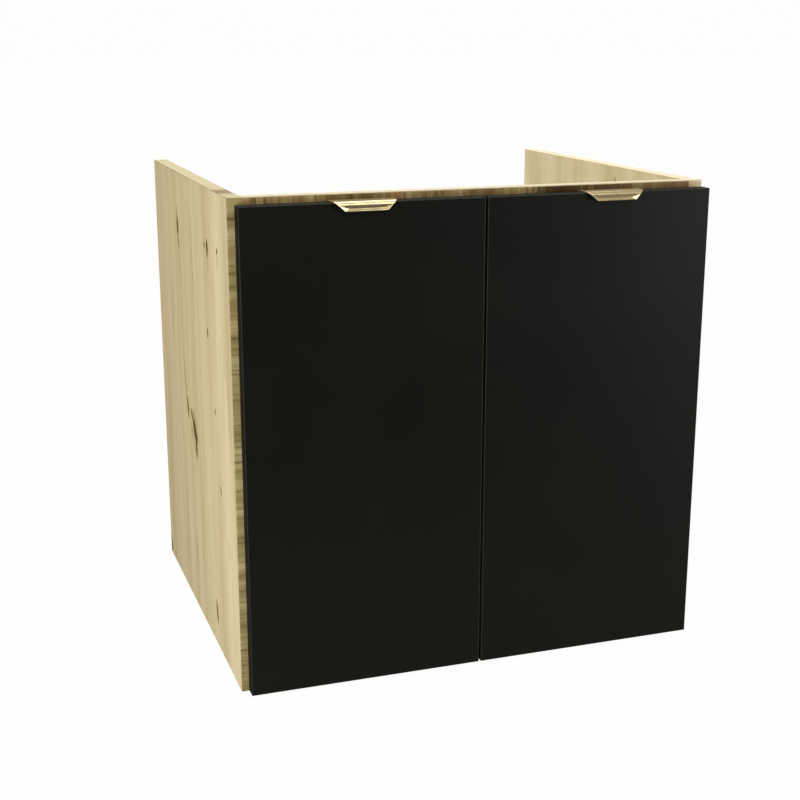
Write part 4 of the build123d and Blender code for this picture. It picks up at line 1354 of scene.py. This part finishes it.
@dataclass
class Pulls(SubAssembly):
    """Edge pulls bent from one gold sheet: a leg behind the door, a plate over it, a pan-shaped lip.

    Lengths are in metres. Drops are measured down from the plate's top.
    """

    sheet: float = 1.5 * MM
    leg_width: float = 60.0 * MM
    leg_height: float = 22.0 * MM
    leg_corner: float = 3.0 * MM
    leg_bend: float = 1.9 * MM
    front_width: float = 75.0 * MM
    rim_width: float = 51.0 * MM
    pan_width: float = 39.0 * MM
    door_thickness: float = 18.0 * MM
    rim_edge: float = 0.1 * MM  # how far the rim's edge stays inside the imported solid's reach
    lip_lean: float = 1.0 * MM
    lip_drop: float = 8.1 * MM
    lip_bend: float = 6.0 * MM
    rim_reach: float = 2.2 * MM
    rim_drop: float = 2.4 * MM
    rim_bend: float = 1.1 * MM
    fold_drop: float = 4.0 * MM
    edge_round: float = 0.28 * MM
    edge_angle: float = 48.0  # degrees from which an edge is rounded
    sheet_angle: float = 30.0
    foot_shares: tuple[float, ...] = (0.0, 0.04, 0.15, 0.35, 0.65, 1.0)  # rows in the leg's round corner
    bend_steps: tuple[int, int, int] = (6, 18, 4)  # of the leg's, the lip's and the rim's bend
    lip_rows: int = 8
    rim_rows: int = 5
    centre_columns: int = 44
    wing_columns: int = 16
    screw_seat: Pair = (3.35 * MM, 1.85 * MM)  # wide and narrow radius of a countersink
    seat_reach: float = 0.1 * MM  # how far a countersink's tool passes each face
    seat_sides: int = 40
    sheet_weld: float = WELD / 4  # corners of the unthickened sheet that are this close are one
    solid_weld: float = WELD / 2
    low: Vector = field(init=False)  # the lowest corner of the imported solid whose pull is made
    high: Vector = field(init=False)

    def build(self) -> None:
        """Bends both pulls and drives their screws."""
        for side in Side:
            self.pull(f"{side}_handle")
            self.turned_screws(f"{side}_handle_screws", FLAT_HEAD, self.finishes.zinc_plate)

    def pull(self, node: str) -> None:
        """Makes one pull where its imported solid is.

        Args:
            node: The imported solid.
        """
        self.low, self.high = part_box(node)
        section = self.section()
        corner = self.corner(section)
        body = bmesh.new()
        rows = [self.row(body, point, corner) for point in section]
        for here, there in zip(rows, rows[1:]):
            for column in sorted(here.keys() & there.keys()):
                if column + 1 in here and column + 1 in there:
                    body.faces.new((here[column], here[column + 1], there[column + 1], there[column]))
        bmesh.ops.remove_doubles(body, verts=body.verts, dist=self.sheet_weld)
        bmesh.ops.recalc_face_normals(body, faces=body.faces)
        if max(body.faces, key=lambda face: face.calc_center_median().z).normal.z < 0:
            bmesh.ops.reverse_faces(body, faces=body.faces)
        piece = new_object(f"{node}_finished", body, self.finishes.gold)
        self.thicken(piece, self.frame["nodes"][f"{node}_screws"])
        self.hand_over(piece, node)

    def section(self) -> list[SectionPoint]:
        """The outer face's section from the leg's foot to the rim, with its bends rounded.

        Returns:
            The section's points.
        """
        high = self.high
        foot, rim = high.z - self.leg_height, self.low.y + self.rim_edge
        crease = rim + self.rim_reach
        corners = (
            (high.y, foot), (high.y, high.z), (crease + self.lip_lean, high.z),
            (crease, high.z - self.lip_drop), (rim, high.z - self.lip_drop - self.rim_drop),
        )
        radii = (self.leg_bend, self.lip_bend, self.rim_bend)
        back, front, flare = (
            rounded(corners[i : i + 3], radius, steps)
            for i, (radius, steps) in enumerate(zip(radii, self.bend_steps))
        )
        leg = [(high.y, foot + self.leg_corner * share) for share in self.foot_shares] + back
        lip = evenly(front[-1], flare[0], self.lip_rows)[1:-1]
        rows = [back[-1], *front, *lip, *flare, *evenly(flare[-1], corners[-1], self.rim_rows)[1:]]
        return [SectionPoint(y, z, True) for y, z in leg] + [SectionPoint(y, z) for y, z in rows]

    def corner(self, section: list[SectionPoint]) -> FoldedCorner:
        """The fold at the lip's lower corners.

        Args:
            section: The section's points.

        Returns:
            The fold, which starts at one of the section's points.
        """
        sheet = (point for point in section if not point.leg)
        start = min(sheet, key=lambda point: abs(self.high.z - point.z - self.fold_drop))
        drop, rim = self.high.z - start.z, self.low.y + self.rim_edge
        return FoldedCorner(
            Vector((self.lip_half_width(drop), drop, start.y)),
            Vector((self.rim_width / 2, self.lip_drop + self.rim_drop, rim)),
            Vector((self.pan_width / 2, self.lip_drop, rim + self.rim_reach)),
        )

    def row(self, body: BMesh, point: SectionPoint, corner: FoldedCorner) -> dict[int, BMVert]:
        """One row of corners across the sheet; the leg has the middle columns only.

        Args:
            body: The mesh that gets the corners.
            point: The section's point.
            corner: The lip's fold.

        Returns:
            The corners, by column from the middle.
        """
        middle = (self.low.x + self.high.x) / 2
        inner = self.centre_columns // 2
        outer = inner + self.wing_columns
        if point.leg:
            short = max(0.0, self.leg_corner - (point.z - (self.high.z - self.leg_height)))
            lost = self.leg_corner - math.sqrt(max(0.0, self.leg_corner**2 - short**2))
            half = self.leg_width / 2 - lost
            columns = range(-inner, inner + 1)
            return {i: body.verts.new((middle + half * i / inner, point.y, point.z)) for i in columns}
        drop, share = self.high.z - point.z, self.leg_width / (self.high.x - self.low.x)
        half = self.half_width(point.y, drop)
        made = {}
        for i in range(-outer, outer + 1):
            wing = max(0, abs(i) - inner) / self.wing_columns
            reach = share + (1 - share) * wing if wing else share * abs(i) / inner
            aside = math.copysign(half * reach, i)
            made[i] = body.verts.new((middle + aside, corner.face(aside, drop, point.y), point.z))
        return made

    def half_width(self, y: float, drop: float) -> float:
        """Half the sheet's width on the plate and the lip.

        Args:
            y: The place along the plate.
            drop: Its drop.

        Returns:
            The half width.
        """
        rear, front = (self.high.x - self.low.x) / 2, self.front_width / 2
        along = min(1.0, max(0.0, (self.high.y - self.leg_bend - y) / self.door_thickness))
        return rear + (front - rear) * along - front + self.lip_half_width(drop)

    def lip_half_width(self, drop: float) -> float:
        """Half the lip's width at a drop."""
        share = drop / (self.lip_drop + self.rim_drop)
        return (self.front_width - (self.front_width - self.rim_width) * share) / 2

    def thicken(self, piece: Object, screws: Object) -> None:
        """Gives the sheet its thickness, countersinks its screw places and eases its edges.

        Args:
            piece: The sheet's outer face, which becomes the whole sheet.
            screws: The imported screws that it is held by.
        """
        wide, narrow = self.screw_seat
        slope = (wide - narrow) / self.sheet * self.seat_reach
        turn = Vector((0.0, 1.0, 0.0)).to_track_quat("Z", "Y").to_matrix().to_4x4()
        seats = bmesh.new()
        for group in islands(screws):
            turn.translation = TurnedPiece.measured(group).crown - Vector((0.0, self.sheet / 2, 0.0))
            bmesh.ops.create_cone(
                seats, cap_ends=True, segments=self.seat_sides, radius1=narrow - slope,
                radius2=wide + slope, depth=self.sheet + self.seat_reach * 2, matrix=turn,
            )
        tool = new_object("screw_seats", seats, piece.data.materials[0])
        thick = {"thickness": self.sheet, "offset": -1.0}
        shape(piece, "SOLIDIFY", **thick, use_even_offset=True, use_quality_normals=True)
        shape(piece, "BOOLEAN", operation="DIFFERENCE", solver="EXACT", object=tool)
        eased = {"limit_method": "ANGLE", "angle_limit": math.radians(self.edge_angle)}
        shape(piece, "BEVEL", width=self.edge_round, segments=2, **eased)
        mesh = baked(piece)
        piece.modifiers.clear()
        bpy.data.objects.remove(tool)
        body = bmesh.new()
        body.from_mesh(mesh)
        bmesh.ops.remove_doubles(body, verts=body.verts, dist=self.solid_weld)
        smooth_by_angle(body, self.sheet_angle)
        body.to_mesh(mesh)
        body.free()
        piece.data = mesh


def evenly(start: Pair, end: Pair, steps: int) -> list[Pair]:
    """The steps + 1 points that run evenly from start to end."""
    shares = [step / steps for step in range(steps + 1)]
    return [tuple(a + (b - a) * share for a, b in zip(start, end)) for share in shares]


def rounded(corners: tuple[Pair, ...], radius: float, steps: int) -> list[Pair]:
    """The arc that rounds the middle of three corners.

    Args:
        corners: The three corners.
        radius: The arc's radius.
        steps: The number of its steps.

    Returns:
        The arc's steps + 1 points.
    """
    before, corner, after = (Vector(place) for place in corners)
    back, ahead = (before - corner).normalized(), (after - corner).normalized()
    half = back.angle(ahead) / 2
    reach = radius / math.tan(half)
    centre = corner + (back + ahead).normalized() * (radius / math.sin(half))
    start, end = corner + back * reach - centre, corner + ahead * reach - centre
    sweep = start.angle(end)
    arc = []
    for step in range(steps + 1):
        turned = step / steps * sweep
        spoke = (start * math.sin(sweep - turned) + end * math.sin(turned)) / math.sin(sweep)
        arc.append(tuple(centre + spoke))
    return arc


# ---- studio
@dataclass(frozen=True)
class Softbox:
    """A rectangular soft light that looks at a point."""

    name: str
    place: Triple
    target: Triple
    width: float
    height: float
    power: float
    tint: Triple = (1.0, 1.0, 1.0)

    def build(self) -> None:
        """Hangs the light."""
        lamp = bpy.data.lights.new(self.name, "AREA")
        lamp.shape = "RECTANGLE"
        lamp.size, lamp.size_y = self.width, self.height
        lamp.energy, lamp.color = self.power, self.tint
        stand = placed(self.name, lamp)
        stand.location = self.place
        way = Vector(self.target) - Vector(self.place)
        stand.rotation_euler = way.to_track_quat("-Z", "Y").to_euler()


WARM = (1.0, 0.985, 0.95)
LIGHTS = (
    Softbox("key_upper", (-1.2, -1.5, 1.05), (-0.2, -0.2, 0.5), 0.7, 0.6, 4.0, WARM),
    Softbox("key_lower", (-1.4, -1.2, 0.22), (-0.3, -0.2, 0.05), 0.8, 0.4, 14.5, WARM),
    Softbox("key_side", (-1.7, -0.5, 0.12), (-0.3, -0.1, 0.15), 0.9, 0.5, 4.5, WARM),
    Softbox("key_high", (-1.9, 0.8, 1.5), (0.0, 0.0, 0.45), 1.0, 1.0, 11.0, WARM),
    Softbox("ceiling_left", (-0.28, 0.3, 2.2), (0.0, 0.0, 0.5), 0.5, 0.8, 27.0),
    Softbox("ceiling_right", (0.42, 0.4, 2.1), (0.1, 0.0, 0.55), 0.4, 1.3, 12.0),
    Softbox("front_spot", (0.52, -1.3, 1.86), (0.1, -0.26, 0.58), 0.35, 0.35, 8.0),
    Softbox("right_strip", (2.2, -1.7, 0.25), (0.2, -0.26, 0.2), 0.4, 0.8, 41.0),
    Softbox("right_fill", (2.1, 0.5, 1.1), (0.3, 0.0, 0.3), 1.0, 1.2, 14.0),
)


@dataclass
class Studio:
    """A white room: pale floor, soft light and the camera at the photograph's place."""

    camera_place: Triple = (-0.60993, -1.73799, 0.77562)
    camera_yaw: float = 18.8658  # degrees to the right of straight ahead
    camera_pitch: float = 14.9803  # degrees below level
    focal_pixels: float = 1369.47
    frame_pixels: float = 800.0
    sensor: float = 36.0
    floor_drop: float = 0.6 * MM
    floor_reach: float = 40.0
    white: Colour = (0.982, 0.982, 0.975, 1.0)
    floor_tone: Colour = (0.012, 0.012, 0.012, 1.0)
    floor_cloud: Colour = (0.009, 0.009, 0.009, 1.0)
    floor_clouds: Grain = Grain((0.8, 0.8))
    floor_cloud_share: float = 0.2
    floor_glow: float = 0.998  # as the camera sees it
    floor_bounce: float = 0.12  # as the cabinet is lit by it
    horizon: float = 0.08
    zenith: float = 0.52
    sky_rise: float = 0.85  # how far up the sky is as bright as at the zenith

    def build(self) -> None:
        """Lays the floor, hangs the lights and sets up the camera."""
        self.floor()
        self.world()
        for light in LIGHTS:
            light.build()
        self.camera()
        bpy.context.scene.view_settings.view_transform = "Standard"
        LOG.info("studio with %d lights", len(LIGHTS))

    def floor(self) -> None:
        """Lays a plain pale floor that glows a little, so that it stays near white."""
        body = bmesh.new()
        bmesh.ops.create_grid(body, x_segments=8, y_segments=8, size=self.floor_reach)
        bmesh.ops.translate(body, verts=body.verts, vec=(0.0, 0.0, -self.floor_drop))
        paint = Paint("studio_floor")
        clouds = self.floor_clouds.over(paint, *paint.place[:2]) * self.floor_cloud_share
        seen = paint.out("ShaderNodeLightPath")
        bounce, glow = (
            tuple(channel * share for channel in self.white[:3]) + (1.0,)
            for share in (self.floor_bounce, self.floor_glow)
        )
        paint.set(
            Base_Color=paint.blend(clouds, self.floor_tone, self.floor_cloud),
            Roughness=0.9, Specular_IOR_Level=0.0,
            Emission_Color=paint.blend(seen, bounce, glow), Emission_Strength=1.0,
        )
        new_object("studio_floor", body, paint.material)

    def world(self) -> None:
        """White surroundings for the camera, and for the cabinet a sky that is brighter overhead."""
        world = bpy.data.worlds.new("studio_world")
        world.use_nodes = True
        bpy.context.scene.world = world
        room = Tree(world.node_tree)
        seen = room.number("ShaderNodeLightPath")
        up = room.node("ShaderNodeSeparateXYZ", {0: room.out("ShaderNodeTexCoord")}).outputs[2]
        rise = Field(room, up).eased(0.0, self.sky_rise)
        sky = rise * (self.zenith - self.horizon) + self.horizon
        backdrop = world.node_tree.nodes["Background"]
        room.fill(backdrop.inputs["Color"], self.white)
        room.fill(backdrop.inputs["Strength"], seen * (1.0 - sky) + sky)

    def camera(self) -> None:
        """Sets up the camera, fitted to the corners of the cabinet in the photograph."""
        lens = bpy.data.cameras.new("photo_camera")
        lens.sensor_width = self.sensor
        lens.lens = self.focal_pixels / self.frame_pixels * self.sensor
        eye = placed("photo_camera", lens)
        eye.location = self.camera_place
        pitch, yaw = math.radians(90.0 - self.camera_pitch), math.radians(-self.camera_yaw)
        eye.rotation_euler = (pitch, 0.0, yaw)
        bpy.context.scene.camera = eye


def main() -> None:
    """Builds every sub-assembly in order, then the studio round them."""
    logging.basicConfig(level=logging.INFO, format="%(name)s: %(message)s")
    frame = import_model()
    finishes = Finishes()
    for kind in (Carcass, BoardJoints, WallHangers, Hinges, Doors, Pulls):
        kind(frame, finishes).build()
    Studio().build()


if __name__ == "__main__":
    main()
